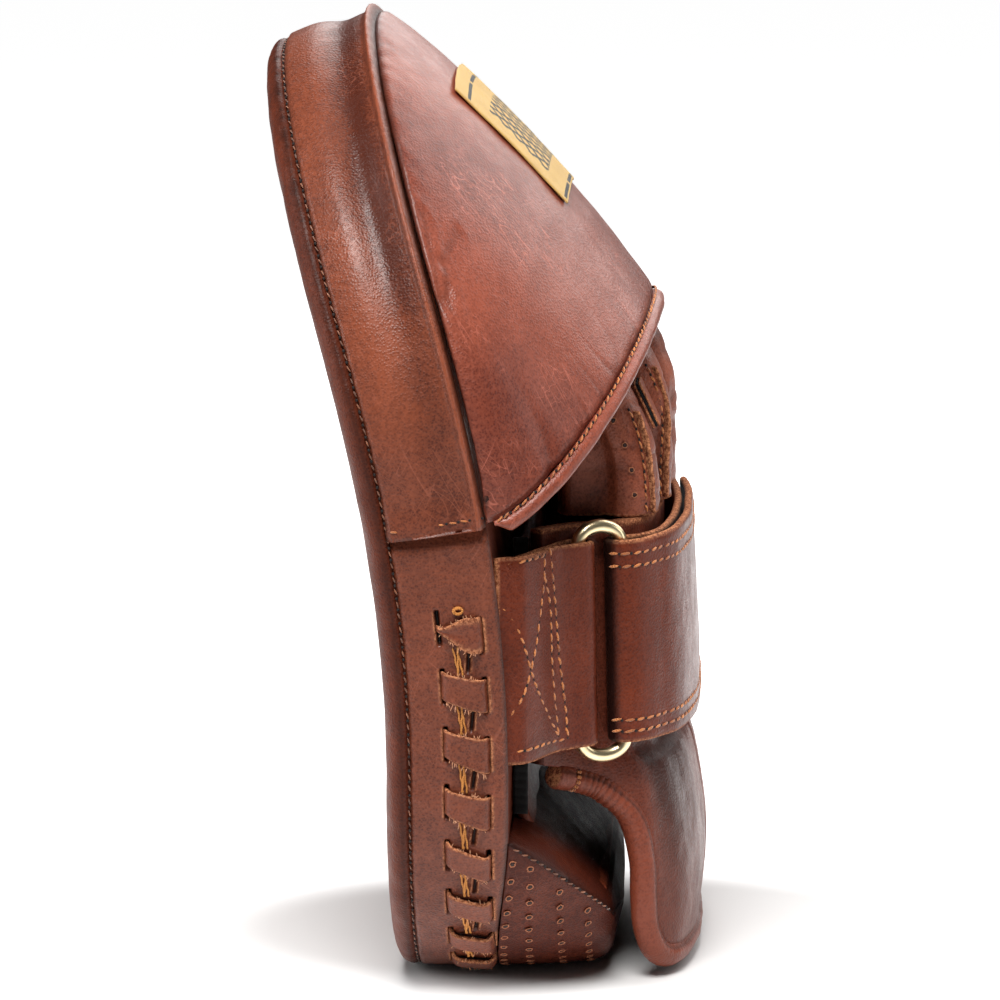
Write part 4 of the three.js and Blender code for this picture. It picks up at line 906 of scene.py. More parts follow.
# %% [markdown]
# The label is a woven ribbon with a plain lattice between two dark bars, the photo's colours with a
# design of its own. It is a thin sheet on the hood, and its weave and figure come from its UVs.

# %% Label
LATTICE, LABEL_THICK = 5.0, 0.7
label = Look("label_cloth")
uv = label.add("ShaderNodeUVMap", uv_map="UVMap").outputs[0]
parts = label.add("ShaderNodeSeparateXYZ")
label.fill(parts, {0: uv})
u_mm, v_mm = (label.times(parts.outputs[k], 1000) for k in (0, 1))


def band(value, centre, half):
    """1 where the value is within half of a centre."""
    return label.math("LESS_THAN", label.off(value, centre), half)


def zigzag(value, pitch):
    """The value folded to run up and down between 0 and the pitch."""
    return label.math("PINGPONG", value, pitch)


zig_u, zig_v = zigzag(u_mm, LATTICE), zigzag(v_mm, LATTICE)
lines = label.math("MINIMUM", label.off(zig_u, zig_v), label.off(label.plus(zig_u, zig_v), LATTICE))
within = label.times(band(u_mm, LABEL_WIDE / 2, 20), band(v_mm, LABEL_TALL / 2, 11))
figure = label.times(label.math("LESS_THAN", lines, 0.8), within)
for centre in (5.0, LABEL_TALL - 5.0):
    bar = label.times(band(v_mm, centre, 0.55), band(zigzag(u_mm, 9.0), 9.0, 7.8))
    figure = label.math("MAXIMUM", figure, bar)
weft, warp = (label.math("SINE", label.times(v, 2 * PI / pitch)) for v, pitch in ((u_mm, 0.32), (v_mm, 0.42)))
weave = label.times(weft, warp)
yellow = label.mix(label.ramp(weave, -1, 1), srgb(206, 158, 74), srgb(236, 200, 118))
yellow = label.mix(label.ramp(label.noise(160), 0.4, 0.7, (0.0, 0.2)), yellow, srgb(190, 140, 60))
relief = label.bump(weave, 0.00012, 0.8)
colour = label.mix(figure, yellow, srgb(14, 8, 6))
label.set(Base_Color=colour, Normal=relief, Roughness=0.72, Sheen_Weight=0.25)
u, v = edge_shares(LABEL_WIDE, LABEL_THICK, 0.9), edge_shares(LABEL_TALL, LABEL_THICK, 0.9)
aa, ww = np.meshgrid(0.5 + LABEL_WIDE / RUN * (u - 0.5), 0.25 + 0.42 * v, indexing="ij")
grid, _ = hood_grid(aa, ww, 0.95 + 0.1 * waves(hood_point(aa, ww), 9, 48))
size = (LABEL_WIDE, LABEL_TALL)
hood_label = sheet("hood_label_ribbon", grid, u, v, size, LABEL_THICK, label.material, lining=0.0)
slots([hood_label], ("hood_label",))
print("label", len(hood_label.data.polygons), "faces")

# %% [markdown]
# The wrist strap is in two pieces that meet at a brass ring. Seen from above each is a line round the
# hand; it goes out in one layer, turns round a bar of the ring and comes back in a second layer inside
# the first. Extruding that line would give hard edges, so each piece is a sheet along the line, with
# rounded raw edges and suede inside.

# %% Strap line
STRAP_LINE = [
    # across, a share of the span, and out, a share of the depth
    (1.02, -0.06),
    (0.93, 0.09),
    (0.8, 0.22),
    (0.7, 0.4),
    (0.665, 0.56),
    (0.62, 0.73),
    (0.52, 0.88),
    (0.3, 0.975),
]
FINE = 4000
near_side = [(a * SPAN, SEAT + b * STRAP_DEPTH) for a, b in STRAP_LINE]
strap_points = near_side + [(0, SEAT + STRAP_DEPTH)] + [(-x, y) for x, y in near_side[::-1]]
strap_fine = curve(strap_points, FINE)
STRAP_RUN = lengths(strap_fine)[-1]
strap_way = unit(np.gradient(strap_fine, axis=0))
RING_AT = RING_SHARE * STRAP_RUN / 2
BAR_OFFSET = RING_WIRE / 2 + CLEAR + STRAP_THICK / 2


def beside(distance, offset):
    """A point beside the strap's line, seen from above. A positive offset is away from the hand."""
    at = np.clip(np.asarray(distance, float) / STRAP_RUN, 0, 1) * (FINE - 1)
    p, w = (sample(at, np.arange(FINE), values) for values in (strap_fine, strap_way))
    return p + np.stack([w[..., 1], -w[..., 0]], -1) * np.asarray(offset)[..., None]


def layer(distance, bar, close):
    """The two layers lie close together and open to BAR_OFFSET round the ring's bar."""
    far = smooth(0, 1, np.minimum(1, np.abs(distance - bar) / RING_OPENING))
    return BAR_OFFSET + (close - BAR_OFFSET) * far


def lean(y, z):
    """How far back the strap's line stands at a height: it tips very slightly towards the pad."""
    return SEAT + (y - SEAT) * (1 - STRAP_LEAN * (z - STRAP_RISE))


def stand(line, z):
    """Points (x, y) of a line seen from above, stood up at heights z with the strap's lean."""
    x, y, z = np.broadcast_arrays(line[..., 0], line[..., 1], z)
    return np.stack([x, lean(y, z), z], -1)


def turn(bar, side, angle, radius):
    """The half circle round a bar, from the outer layer (angle 0) to the inner one (PI)."""
    middle = beside(bar, 0.0)
    outward = beside(bar, 1.0) - middle
    onward = np.array([-outward[1], outward[0]])
    onward = onward * side * np.sign(np.dot(onward, beside(bar + 1, 0.0) - middle))
    way = outward * np.cos(angle)[:, None] + onward * np.sin(angle)[:, None]
    return middle + radius * way, way


def strap(name, outer, inner, bar, side, close, flip, seed, tucked=0.0):
    """A strap that goes out in one layer, half round the ring's bar and back in a second layer inside it."""
    first = beside(outer, layer(outer, bar, close))
    bow, _ = turn(bar, side, np.linspace(0, PI, 16)[1:-1], BAR_OFFSET)
    line = np.concatenate([first, bow, beside(inner, -layer(inner, bar, close))])
    run = lengths(line)
    total = run[-1]
    u, v = edge_shares(total, STRAP_THICK, 0.8), edge_shares(STRAP_WIDTH, STRAP_THICK, 1.0)
    line = sample(u * total, run, line)
    z = STRAP_RISE + (STRAP_WIDTH + 0.35 * np.sin(u[:, None] * total / 14 + seed)) * (v[None] - 0.5)
    grid = stand(line[:, None], z)
    dent = 0.16 * waves(grid, 26, seed) + 0.05 * waves(grid, 7, seed + 1)
    dent = dent - tucked * (1 - smooth(0.5, 7, u * total))[:, None]
    # Painted shade on the turn round the ring's bar, in the gap between the two straps.
    past = (u * total - lengths(first)[-1])[:, None]
    shade = 0.9 * smooth(2.2, 4.2, past) * (1 - smooth(9, 12, past))
    marks = {"worn": 0.3 * waves(grid, 30, seed + 2), "dark": shade}
    return sheet(name, grid, u, v, (total, STRAP_WIDTH), STRAP_THICK, strap_look, dent, marks, flip=flip)


def on_strap(distance, z, bar, close, tucked=0.0):
    """A line of points on a strap's outer face, and the direction out of it."""
    distance, z = np.broadcast_arrays(np.asarray(distance, float), np.asarray(z, float))
    out = layer(distance, bar, close) + STRAP_THICK / 2 - tucked * (1 - smooth(1.5, 8, distance))
    p, q = stand(beside(distance, out), z), stand(beside(distance, out + 1), z)
    return p, unit(q - p)


# %% [markdown]
# The anchor strap comes out from under the gusset's edge, so its first millimetres are tucked in. Its
# stitches could be a plain box with a cross; the photo's wander a little, so each row is a line through
# points, along and up.

# %% Anchor strap
near_bar = RING_AT - RING_WIDTH / 2
near_close = STRAP_THICK / 2 + CLEAR / 2
TUCK, STEP = 3.4, 0.8
outer, inner = np.arange(1, near_bar, STEP), np.arange(near_bar, 8, -STEP)
anchor = strap("anchor_strap_hide", outer, inner, near_bar, 1, near_close, 1, 51, TUCK)
slots([anchor], ("anchor_strap",))
low, high = STRAP_RISE - STRAP_WIDTH / 2, STRAP_RISE + STRAP_WIDTH / 2
ANCHOR_STITCH = {"pitch": 3.1, "length": 2.75, "width": 0.74, "slant": 9, "lift": 0.05}
ANCHOR_ROWS = {
    # distances along the strap, heights
    "cross_down": ([2.2, 4.8, 9.5, 13.3, 24], [106, 102, 88.9, 81.6, 68.9]),
    "cross_up": ([2.2, 5.4, 8.4, 11.5, 13.7, 16.1, 16.7], [74.5, 79.6, 86.1, 94.2, 102, 110.7, 116.6]),
    "bottom": ([2.2, 13, 26.8], [68.4, 68.6, 67.9]),
    "top": ([2.2, 7.8, 17], [116.2, 117, 117]),
    "first_row": ([16.3, 19.6, 20.6, 21.9, 23.8], [112, 104, 89.4, 79, 69]),
    "second_row": ([20, 22.6, 24.5, 26.4, 27], [118.6, 104.4, 88.7, 75.7, 68]),
}
for k, (name, row) in enumerate(ANCHOR_ROWS.items()):
    path = curve(np.stack(row, -1), 80)
    line, up = on_strap(path[:, 0], path[:, 1], near_bar, near_close, TUCK)
    stitches("anchor_" + name, line, up, strap_thread, seed=60 + k, **ANCHOR_STITCH)
print("anchor strap", len(anchor.data.polygons), "faces,", len(ANCHOR_ROWS), "rows of stitches")

# %% [markdown]
# The closure strap goes from its loose end over the hand's back to the ring, and returns under itself to
# the far side. Two rows of stitches follow each long edge and start on the turn round the ring.

# %% Closure strap
far_bar = RING_AT + RING_WIDTH / 2
far_close = (STRAP_THICK + TAPE_GAP) / 2
tab_end = STRAP_RUN / 2 + 34
outer, inner = np.arange(tab_end, far_bar, -STEP), np.arange(far_bar, STRAP_RUN, STEP)
closure = strap("closure_strap_hide", outer, inner, far_bar, -1, far_close, -1, 54)
slots([closure], ("closure_strap",))
CLOSURE_STITCH = {"pitch": 3.3, "length": 2.85, "width": 0.76, "slant": 11, "lift": 0.05}
rows = [high - 3.6, high - 6.9, low + 3.3, low + 6.2]
bow, way = turn(far_bar, -1, np.linspace(1.25, 0.1, 20), BAR_OFFSET + STRAP_THICK / 2)
for k, z in enumerate(rows):
    line, up = on_strap(np.linspace(far_bar + 0.3, tab_end - 3, 200), z, far_bar, far_close)
    line = np.concatenate([stand(bow, z), line])
    up = np.concatenate([np.pad(way, ((0, 0), (0, 1))), up])
    stitches(f"closure_row_{k + 1}", line, up, strap_thread, seed=70 + k, **CLOSURE_STITCH)
for k in (1, 2):
    line, up = on_strap(tab_end - 3 * k, np.linspace(rows[3], rows[1], 60), far_bar, far_close)
    stitches(f"closure_end_{k}", line, up, strap_thread, seed=74 + k, **CLOSURE_STITCH)

# %% [markdown]
# The ring is cast brass, polished, with a round wire: two half rounds and two straight bars, swept in one
# loop.

# %% Ring
brass = plain("brass", (240, 214, 158), (255, 240, 204), 700, 0.28, 1.0, 0.00004)
p_near, p_far = beside(near_bar, 0.0), beside(far_bar, 0.0)
middle, half_ring = (p_near + p_far) / 2, np.linalg.norm(p_far - p_near) / 2
onward = unit(p_far - p_near)
outward = np.array([onward[1], -onward[0]])
straight, arch, wire = RING_STRAIGHT / 2, 0.72 * half_ring, RING_WIRE / 2
a = np.linspace(0, PI, 26)
bar_z = np.linspace(straight, -straight, 14)[1:-1]
ends = [half_ring * np.cos(a), np.full(12, -half_ring)]
across = np.concatenate(ends + [-end for end in ends])
upward = np.concatenate([straight + arch * np.sin(a), bar_z, -straight - arch * np.sin(a), bar_z[::-1]])
facing = np.concatenate([a, np.full(12, PI), a + PI, np.full(12, 2 * PI)])[:, None]
theta = np.linspace(0, 2 * PI, 20, endpoint=False)
place = across[:, None] + wire * np.cos(theta) * np.cos(facing)
height = STRAP_RISE + upward[:, None] + wire * np.cos(theta) * np.sin(facing)
line = middle + onward * place[..., None] + outward * (wire * np.sin(theta))[None, :, None]
slots([tube("strap_ring_brass", stand(line, height), brass, wrap=True)], ("strap_ring",))
print("strap", round(STRAP_RUN, 1), "ring at", round(RING_AT, 1), len(closure.data.polygons))

# %% [markdown]
# The glove is a soft padded sleeve under the strap, open to the wrist at the bottom, where a rolled
# binding runs round it and climbs to a notch at both sides. It follows the strap's line, swells below it,
# and hangs in upright folds. A second grid under the first makes its suede inside. Simulated cloth would
# lose the straps' line, which the glove has to follow closely, so the folds are shallow valleys at the
# places of a table.

# %% Glove
GLOVE_OFFSET = BAR_OFFSET + STRAP_THICK / 2 + 2 * CLEAR
GLOVE_RUN = STRAP_RUN - 2 * GLOVE_START
RIM_FOOT, RIM_FINE = 2 * BINDING_R + CLEAR, 1600
SHARE_MM = 60.0  # shares are drawn as this many millimetres while a curve is laid through them
SWELL_AT = np.array([0, 0.066, 0.231, 0.38, 0.471, 0.52, 1.1]) * GLOVE_TOP
SWELL = np.array([1.08, 1.13, 1.2, 1.17, 1.11, 1.0, 1.0])
swell_fine = curve(np.stack([SWELL_AT, SWELL * SHARE_MM], -1), 400)
RIM = [(0, 1), (0.1, 0.95), (0.19, 0.86), (0.26, 0.7), (0.292, 0.5), (0.3, 0.3), (0.325, 0.13), (0.38, 0.03)]
RIM += [(0.5, 0), (0.75, 0), (1, 0)]
near_rim = [(a / 2 * GLOVE_RUN, RIM_FOOT + (NOTCH_RISE - RIM_FOOT) * b) for a, b in RIM]
rim_line = curve(near_rim + [(GLOVE_RUN - a, b) for a, b in near_rim[-2::-1]], RIM_FINE)


def glove_point(along_, up, depth):
    """The strap's line, moved in by the straps and a depth, and scaled away from the pad by the swell."""
    p = beside(GLOVE_START + along_, -(GLOVE_OFFSET + np.asarray(depth)))
    share = along_ / GLOVE_RUN
    swell = np.interp(up, swell_fine[:, 0], swell_fine[:, 1] / SHARE_MM)
    near = np.minimum(1, np.minimum(share, 1 - share) / 0.12)
    y = SEAT + (p[..., 1] - SEAT) * (1 + (swell - 1) * near)
    return np.stack([p[..., 0], lean(y, up), np.broadcast_to(up, y.shape)], -1)


FOLDS = [
    # place along the glove, sway, depth, width
    (47, 0.1, 0.5, 7.0),
    (72, -0.1, 0.4, 8.0),
    (100, 0.1, 0.5, 7.0),
    (132, -0.1, 0.6, 7.0),
]
columns, rows = 420, 96
rim_at = rim_line[np.linspace(0, RIM_FINE - 1, columns).astype(int)]
k = np.linspace(0, 1, rows)[None]
along_grid = rim_at[:, :1] * (1 - k) + np.linspace(0, GLOVE_RUN, columns)[:, None] * k
up_grid = rim_at[:, 1:] * (1 - k) + GLOVE_TOP * k
outer = glove_point(along_grid, up_grid, 0.0)
normal = normals_of(outer)
normal *= np.sign((normal[..., 1] * (outer[..., 1] > 40)).mean())
below = 1 - smooth(60, 70, up_grid)
above = smooth(113, 119, up_grid)
folds = np.zeros_like(up_grid)
for at, sway, deep, wide in FOLDS:
    folds -= deep * hump(along_grid - at - sway * (70 - up_grid), wide)
valley = hump(along_grid - rim_at[:, :1] - 5.5, 4.0) * (along_grid < GLOVE_RUN / 2)
folds -= 1.6 * valley
rumple = 0.3 * waves(outer * [1, 1, 0.5], 34, 81) - 0.05 * creases(outer * [1, 1, 0.5], 17, 82)
offset = (folds + rumple) * below * smooth(0, 14, up_grid - rim_at[:, 1:]) + 0.08 * waves(outer, 6, 83)
offset = offset + above * (0.3 * waves(outer, 9, 84))
skin = outer + normal * offset[..., None]
depth = 0.6 * offset + 0.2 * waves(outer, 13, 85)
inside = glove_point(along_grid, up_grid, GLOVE_WALL) + normal * depth[..., None]
p = np.concatenate([skin, inside[:, ::-1]], 1)
# Painted shade in the valley beside the binding and in the rumples' troughs.
groove = (0.2 * np.clip(-rumple, 0, 1) + 0.8 * valley) * below
marks = outer_marks(p, rows, 1.0, groove=groove, worn=0.35 * waves(outer, 36, 86) * below)
marks["raw"] = np.broadcast_to(0.8 * (np.abs(np.arange(2 * rows) - rows + 0.5) < 2), p.shape[:2])
glove = tube("glove_padded", p, glove_look, marks)
slots([glove], ("glove_body",))
print("glove", len(glove.data.polygons))

# %% [markdown]
# The binding is a roll of hide along the rim. Its line is smoothed a few times, because the rim turns
# sharply at the notches. It is gathered there, has a seam on its inner side, and is tied down with a ring
# of stitches at each end.

# %% Wrist binding
SIDES_ROUND, TIE, TIE_STITCHES = 26, 7.0, 14


def rim_point(share, depth):
    """A point of the glove's rim at a share of its length, so deep inside the glove's outer face."""
    spot = sample(np.clip(share, 0, 1) * (RIM_FINE - 1), np.arange(RIM_FINE), rim_line)
    return glove_point(spot[:, 0], spot[:, 1], depth)


def round_line(p, radius, through, up, angle):
    """Points round a line, or round some of its points, at a radius and an angle."""
    return p[:, None] + radius[:, None, None] * (
        through[:, None] * np.cos(angle)[:, None] + up[:, None] * np.sin(angle)[:, None]
    )


share = np.linspace(0.02, 0.98, 560)
p = rim_point(share, GLOVE_WALL / 2)
way = unit(rim_point(share + 0.004, 2.0) - rim_point(share - 0.004, 2.0))
through = unit(rim_point(share, GLOVE_WALL) - rim_point(share, 0.0))
p = p - unit(np.cross(way, through)) * (BINDING_R - 1.2)
p[:, 2] = np.maximum(p[:, 2], BINDING_R)
for _ in range(12):
    p[1:-1] = (p[:-2] + 2 * p[1:-1] + p[2:]) / 4
way = unit(np.gradient(p, axis=0))
through = unit(through - way * (through * way).sum(-1, keepdims=True))
up = np.cross(way, through)
run = lengths(p)
theta = np.linspace(0, 2 * PI, SIDES_ROUND, endpoint=False)
to_end = np.minimum(run, run[-1] - run)
size = BINDING_R * np.sqrt(np.clip(1 - (1 - np.clip(to_end / 1.4, 0, 1)) ** 2, 0.02, 1))
size = size * (1 - 0.12 * hump(to_end - TIE, 1.1))
gather = np.sin(2 * PI * run / 1.9 + 3 * waves(p, 11, 91)) * (0.12 + 0.88 * hump(to_end - 15, 8))
gather = gather[:, None]
ring_p = round_line(p, size, through, up, theta)
radial = unit(ring_p - p[:, None])
seam = hump(np.mod(theta - 2.6 + PI, 2 * PI) - PI, 0.16)[None]
bump = 0.14 * gather + 0.12 * waves(ring_p, 8, 93) - 0.35 * seam
ring_p = ring_p + radial * (bump * np.minimum(1, to_end / 2)[:, None])[..., None]
# Painted shade in the gathers' troughs and along the inner seam.
groove = 0.35 * np.clip(-gather, 0, 1) + 0.7 * seam
marks = {"raw": (to_end < 0.9)[:, None], "groove": groove, "worn": 0.7 + 0.3 * gather}
marks = {k: np.broadcast_to(v, bump.shape) for k, v in marks.items()}
binding = tube("wrist_binding_roll", ring_p, glove_look, marks)
slots([binding], ("wrist_binding",))
tied = [np.argmin(np.abs(run - r)) for r in (TIE - 0.4, TIE + 0.4, run[-1] - TIE + 0.4, run[-1] - TIE - 0.4)]
angle = np.linspace(0, 2 * PI, TIE_STITCHES + 1)[:-1]
ends = (round_line(p[tied], 1.02 * size[tied], through[tied], up[tied], angle + k) for k in (0.0, 0.36))
start, stop = (end.reshape(-1, 3) for end in ends)
lift = unit((start + stop) / 2 - np.repeat(p[tied], TIE_STITCHES, 0))
capsules("binding_stitches", start, stop, lift, 0.7, 0.6, strap_thread, 0.15)
print("binding", len(binding.data.polygons), "faces,", round(float(run[-1]), 1), "mm long")

# %% [markdown]
# Five finger stalls stand on the glove. Each is a double walled dome that curls towards the pad as it
# rises, with crosswise creases where a finger bends. The little finger's stall has air holes, and the
# seams along the backs of the first two stand up as raw stitched ridges.

# %% Finger stalls
STALL_WIDE, STALL_DEEP, STALL_WALL, REACH, CURL, LITTLE_BULGE = 10.6, 8.8, 2.0, 70.0, 61.0, 8.5
STALLS = {
    # x and back at the foot, sideways lean, straight part, tip
    "little": (0.414, 0.839, 0.09, 0.114, 0.643),
    "ring": (0.16, 0.912, 0.0, 0.257, 0.843),
    "middle": (-0.094, 0.926, 0.0, 0.314, 0.914),
    "index": (-0.348, 0.871, -0.09, 0.257, 0.8),
    "thumb": (-0.591, 0.599, -0.47, 0.086, 0.371),
}


def stall_point(stall, rise, angle, wall=0.0, size=1.0):
    """An ellipse round a middle that curls forward as it rises: CURL (rise / REACH - straight)^2."""
    x, back, splay, straight, tip = STALLS[stall]
    rise, angle = np.broadcast_arrays(np.asarray(rise, float), angle)
    share = rise / (tip * REACH)
    curl = CURL * np.clip(rise / REACH - straight, 0, None) ** 2
    px = x * SPAN + splay * STALL_WIDE * share + (STALL_WIDE - wall) * size * np.cos(angle)
    py = SEAT + back * STRAP_DEPTH - STALL_DEEP - curl + (STALL_DEEP - wall) * size * np.sin(angle)
    return np.stack([px, py, GLOVE_TOP + rise], -1)


theta = np.linspace(0, 2 * PI, 72, endpoint=False)
dome = np.linspace(0, PI / 2, 22)[1:, None]
for k, (stall, row) in enumerate(STALLS.items()):
    tip = row[4] * REACH
    walls = []
    for wall in (0.0, STALL_WALL):
        shoulder = tip - STALL_DEEP
        straight_part = np.linspace(CLEAR, shoulder, 46)[:, None]
        over_top = shoulder + (STALL_DEEP - wall) * np.sin(dome)
        lower = stall_point(stall, straight_part, theta, wall)
        wall_p = np.concatenate([lower, stall_point(stall, over_top, theta, wall, np.cos(dome))])
        if stall == "little":
            fold = 1 - smooth(18, 40, wall_p[..., 2] - GLOVE_TOP)
            front = np.clip(-np.sin(theta), 0, 1)
            wall_p[..., 1] -= LITTLE_BULGE * smooth(0.34, 0.72, front) * fold
            wall_p[..., 0] -= (1.5 * hump(front - 0.4, 0.07) - 1.8 * smooth(0.5, 0.7, front)) * fold
        walls.append(wall_p)
    outer, inner = walls
    normal = ring_normals(outer)
    normal *= np.sign((normal * (outer - outer.mean(1, keepdims=True))).sum())
    rise = outer[..., 2] - GLOVE_TOP
    fade = np.minimum(1, (tip - rise) / 4) * np.minimum(1, rise / 3)
    bend = -0.3 * creases(outer * [0.35, 0.8, 1.7], 16, 100 + k) + 0.35 * waves(outer, 10, 110 + k)
    ridge = 0.5 * hump(theta - 0.86, 0.17)[None]
    outer = outer + normal * ((bend + ridge + 0.3 * waves(outer, 24, 120 + k)) * fade)[..., None]
    p = np.concatenate([outer[::-1], inner])
    past = np.zeros((len(inner), len(theta)))
    # Painted shade in the stalls' creases.
    marks = {
        "lining": np.concatenate([past, past + 1]),
        "groove": np.concatenate([np.clip(-bend, 0, 1)[::-1] * 0.8, past]),
        "worn": np.concatenate([0.6 * waves(outer, 14, 130 + k)[::-1], past]),
        "raw": np.concatenate([past, past]),
    }
    marks["raw"][len(outer) - 1 : len(outer) + 1] = 1
    node = "thumb_stall" if stall == "thumb" else f"{stall}_finger_stall"
    slots([tube(f"{stall}_stall_hide", p, stall_look_painted_light, marks)], (node,))


def out_of_stall(stall, rise, angle):
    """A line on a stall, and the direction out of it."""
    p = stall_point(stall, rise, angle)
    return p, unit(stall_point(stall, rise, angle, -1.0) - p)


def ridge_seam(stall, angle, high, tall, seed):
    """A seam's raw flange standing out of a stall up to a height, and its stitches beside it."""
    rise = np.linspace(1, high, 60)
    run, deep = high - 1, tall + 0.6
    sway = angle + 0.05 * np.sin(rise / 6 + seed)
    path, up = out_of_stall(stall, rise, sway)
    u, v = edge_shares(run, 1.0, 0.8), edge_shares(deep, 1.0, 0.35)
    at, _, _ = along(path, u * run)
    out = sample(u, np.linspace(0, 1, 60), up)
    grid = at[:, None] + out[:, None] * (deep * v - 0.3)[None, :, None]
    marks = {"raw": 0.75}
    dent = 0.25 * waves(grid, 4, seed) * v[None]
    flange = sheet(f"{stall}_seam_flange", grid, u, v, (run, deep), 1.0, stall_look_painted_light, dent, marks)
    line, up = out_of_stall(stall, rise, sway - 0.17)
    stitches(f"{stall}_seam", line + up * 0.45, up, strap_thread, 2.6, 2.0, 0.6, 14, seed, 0.15)
    return flange


slots([ridge_seam("little", 0.86, 28, 1.7, 141), ridge_seam("ring", 0.9, 36, 1.5, 142)])


def eyelets(name, at, up, radius, look, hole=0.7):
    """Punched holes: a low furry lip round a sunken disc of painted shade, for each point."""
    count, sides, tubes = len(at), 14, 6
    one = unit(np.cross(up, np.array([0.31, 0.2, 0.93])))
    two = np.cross(up, one)
    angle = np.linspace(0, 2 * PI, sides, endpoint=False)[None, :, None]
    spoke = one[:, None] * np.cos(angle) + two[:, None] * np.sin(angle)
    uneven = 1 + 0.09 * np.random.default_rng(count).normal(size=(count, sides, 1))
    small = radius * (1 - hole) / 2 * 1.15
    phi = np.linspace(0, 2 * PI, tubes, endpoint=False)[None, None, :, None]
    core = at[:, None] + spoke * (radius * (1 + hole) / 2 * uneven)
    p = core[:, :, None] + spoke[:, :, None] * np.cos(phi) * small
    p = p + up[:, None, None] * np.sin(phi) * small * 0.8
    cell = grid_faces(sides + 1, tubes, True)[0] % (sides * tubes)
    sunk, raised = (at - up * 0.25)[:, None], (at + up * 0.05)[:, None]
    disc = np.concatenate([at[:, None] + spoke * radius * hole * 1.15 + up[:, None] * 0.02, sunk, raised], 1)
    ids, after = np.arange(sides), np.roll(np.arange(sides), -1)
    fan = [np.stack([ids, after, 0 * ids + sides + 1], -1), np.stack([after, ids, 0 * ids + sides], -1)]
    parts = [("_lips", p, cell, look), ("_hole_shades", disc, np.concatenate(fan), punch_shade_look)]
    for end, points, faces, finish in parts:
        each = points[0].size // 3
        faces = (faces[None] + (np.arange(count) * each)[:, None, None]).reshape(-1, faces.shape[1])
        finish_mesh(name + end, points.reshape(-1, 3), faces.tolist(), np.zeros((faces.size, 2)), {}, finish)


rise, angle = np.array([25.5, 19.0, 12.5, 6.0, 31.0]), np.array([0.12, 0.2, 0.26, 0.32, 0.05])
at, up = out_of_stall("little", rise, angle)
lip_look = plain("hole_lip", (128, 66, 42), (196, 126, 88), 900, 0.75)
eyelets("little_air", at + up * 0.1, up, 0.85, lip_look)
print("stalls", len(STALLS), "air holes", len(at))

# %% [markdown]
# The finger tab is laminated: two hides with a dark core between them. It stands on the back of the
# little finger's stall, at the slope that the stall's curl has there. A single block would lose the three
# raw edges.

# %% Finger tab
TAB_WIDE, TAB_LONG, TAB_ASIDE, TAB_RISE = 9.5, 12.5, 6.4, 27.0
x, back_share, _, straight_share, _ = STALLS["little"]
slope = np.arctan(2 * CURL * (TAB_RISE / REACH - straight_share) / REACH)
tab_back = SEAT + back_share * STRAP_DEPTH - CURL * (TAB_RISE / REACH - straight_share) ** 2 + CLEAR
tab_middle = np.array([x * SPAN - TAB_ASIDE, tab_back, GLOVE_TOP + TAB_RISE])
up_way, out_way = np.array([0, -np.sin(slope), np.cos(slope)]), np.array([0, np.cos(slope), np.sin(slope)])
elastic_look = plain("elastic", (4, 4, 4), (14, 12, 13), 1500, 0.95)
tabs = []
TAB_LAYERS = [
    # name, distance from the stall, thickness, look
    ("inner", 0.0, 0.75, stall_look_painted_light),
    ("core", 0.78, 0.66, elastic_look),
    ("outer", 1.47, 0.73, stall_look_painted_light),
]
for name, off, thick, look in TAB_LAYERS:
    u, v = edge_shares(TAB_LONG, thick, 0.6), edge_shares(TAB_WIDE, thick, 0.6)
    uu, vv = np.meshgrid(u, v, indexing="ij")
    grid = tab_middle + up_way * (TAB_LONG * (uu - 0.5))[..., None] + out_way * (off + thick / 2)
    grid = grid + np.array([1.0, 0, 0]) * (TAB_WIDE * (vv - 0.5))[..., None]
    tabs.append(sheet(f"finger_tab_{name}", grid, u, v, (TAB_LONG, TAB_WIDE), thick, look, lining=0.0))
slots(tabs[:1], ("finger_tab",))
print("tab layers", len(tabs))

# %% [markdown]
# The heel cushion is a wedge sewn to the pad's foot. Its side follows the pad's outline and is pierced
# with air holes; a stitched seam parts it from the palm's smooth leather, which slopes in under the hand.
# Foam fills it and it rests on the floor, so its top is puffed by a formula and not by a simulation.

# %% Heel cushion
SECTIONS = np.array(
    [
        # out, wide, top, lift
        (0, 0.985, 1, 0),
        (0.3, 0.95, 0.87, 0),
        (0.58, 0.9, 0.72, 0),
        (0.82, 0.84, 0.58, 0.005),
        (0.95, 0.78, 0.48, 0.04),
        (1, 0.71, 0.38, 0.12),
    ]
)
profile = curve(SECTIONS * [BOLSTER_DEPTH, SHARE_MM, BOLSTER_HEIGHT, BOLSTER_HEIGHT], 60)
TURNS, HOLE_ROW, HOLE_PITCH = 220, 6.9, 5.8


def cushion_top(out):
    """The top's height at a distance out from the pad, and how far round the outline the side reaches."""
    top = np.interp(out, profile[:, 0], profile[:, 2])
    return top, FOOT_HALF + CORNER_R * np.arccos(1 - top / CORNER_R)


def bolster_side(out, turned):
    """The side at a distance out from the pad, and a share from the near top edge (1) to the far one (-1)."""
    out, turned = np.broadcast_arrays(np.asarray(out, float), turned)
    wide = np.interp(out, profile[:, 0], profile[:, 1] / SHARE_MM)
    lift = np.interp(out, profile[:, 0], profile[:, 3])
    top, reach = cushion_top(out)
    x, s, _, _ = outline(turned * reach)
    y = SEAT + out - FOOT_NARROW * (1 - smooth(2, 50, s)) * (1 - smooth(0, 9, out))
    return np.stack([x * wide, y, lift + (top - lift) * s / top], -1)


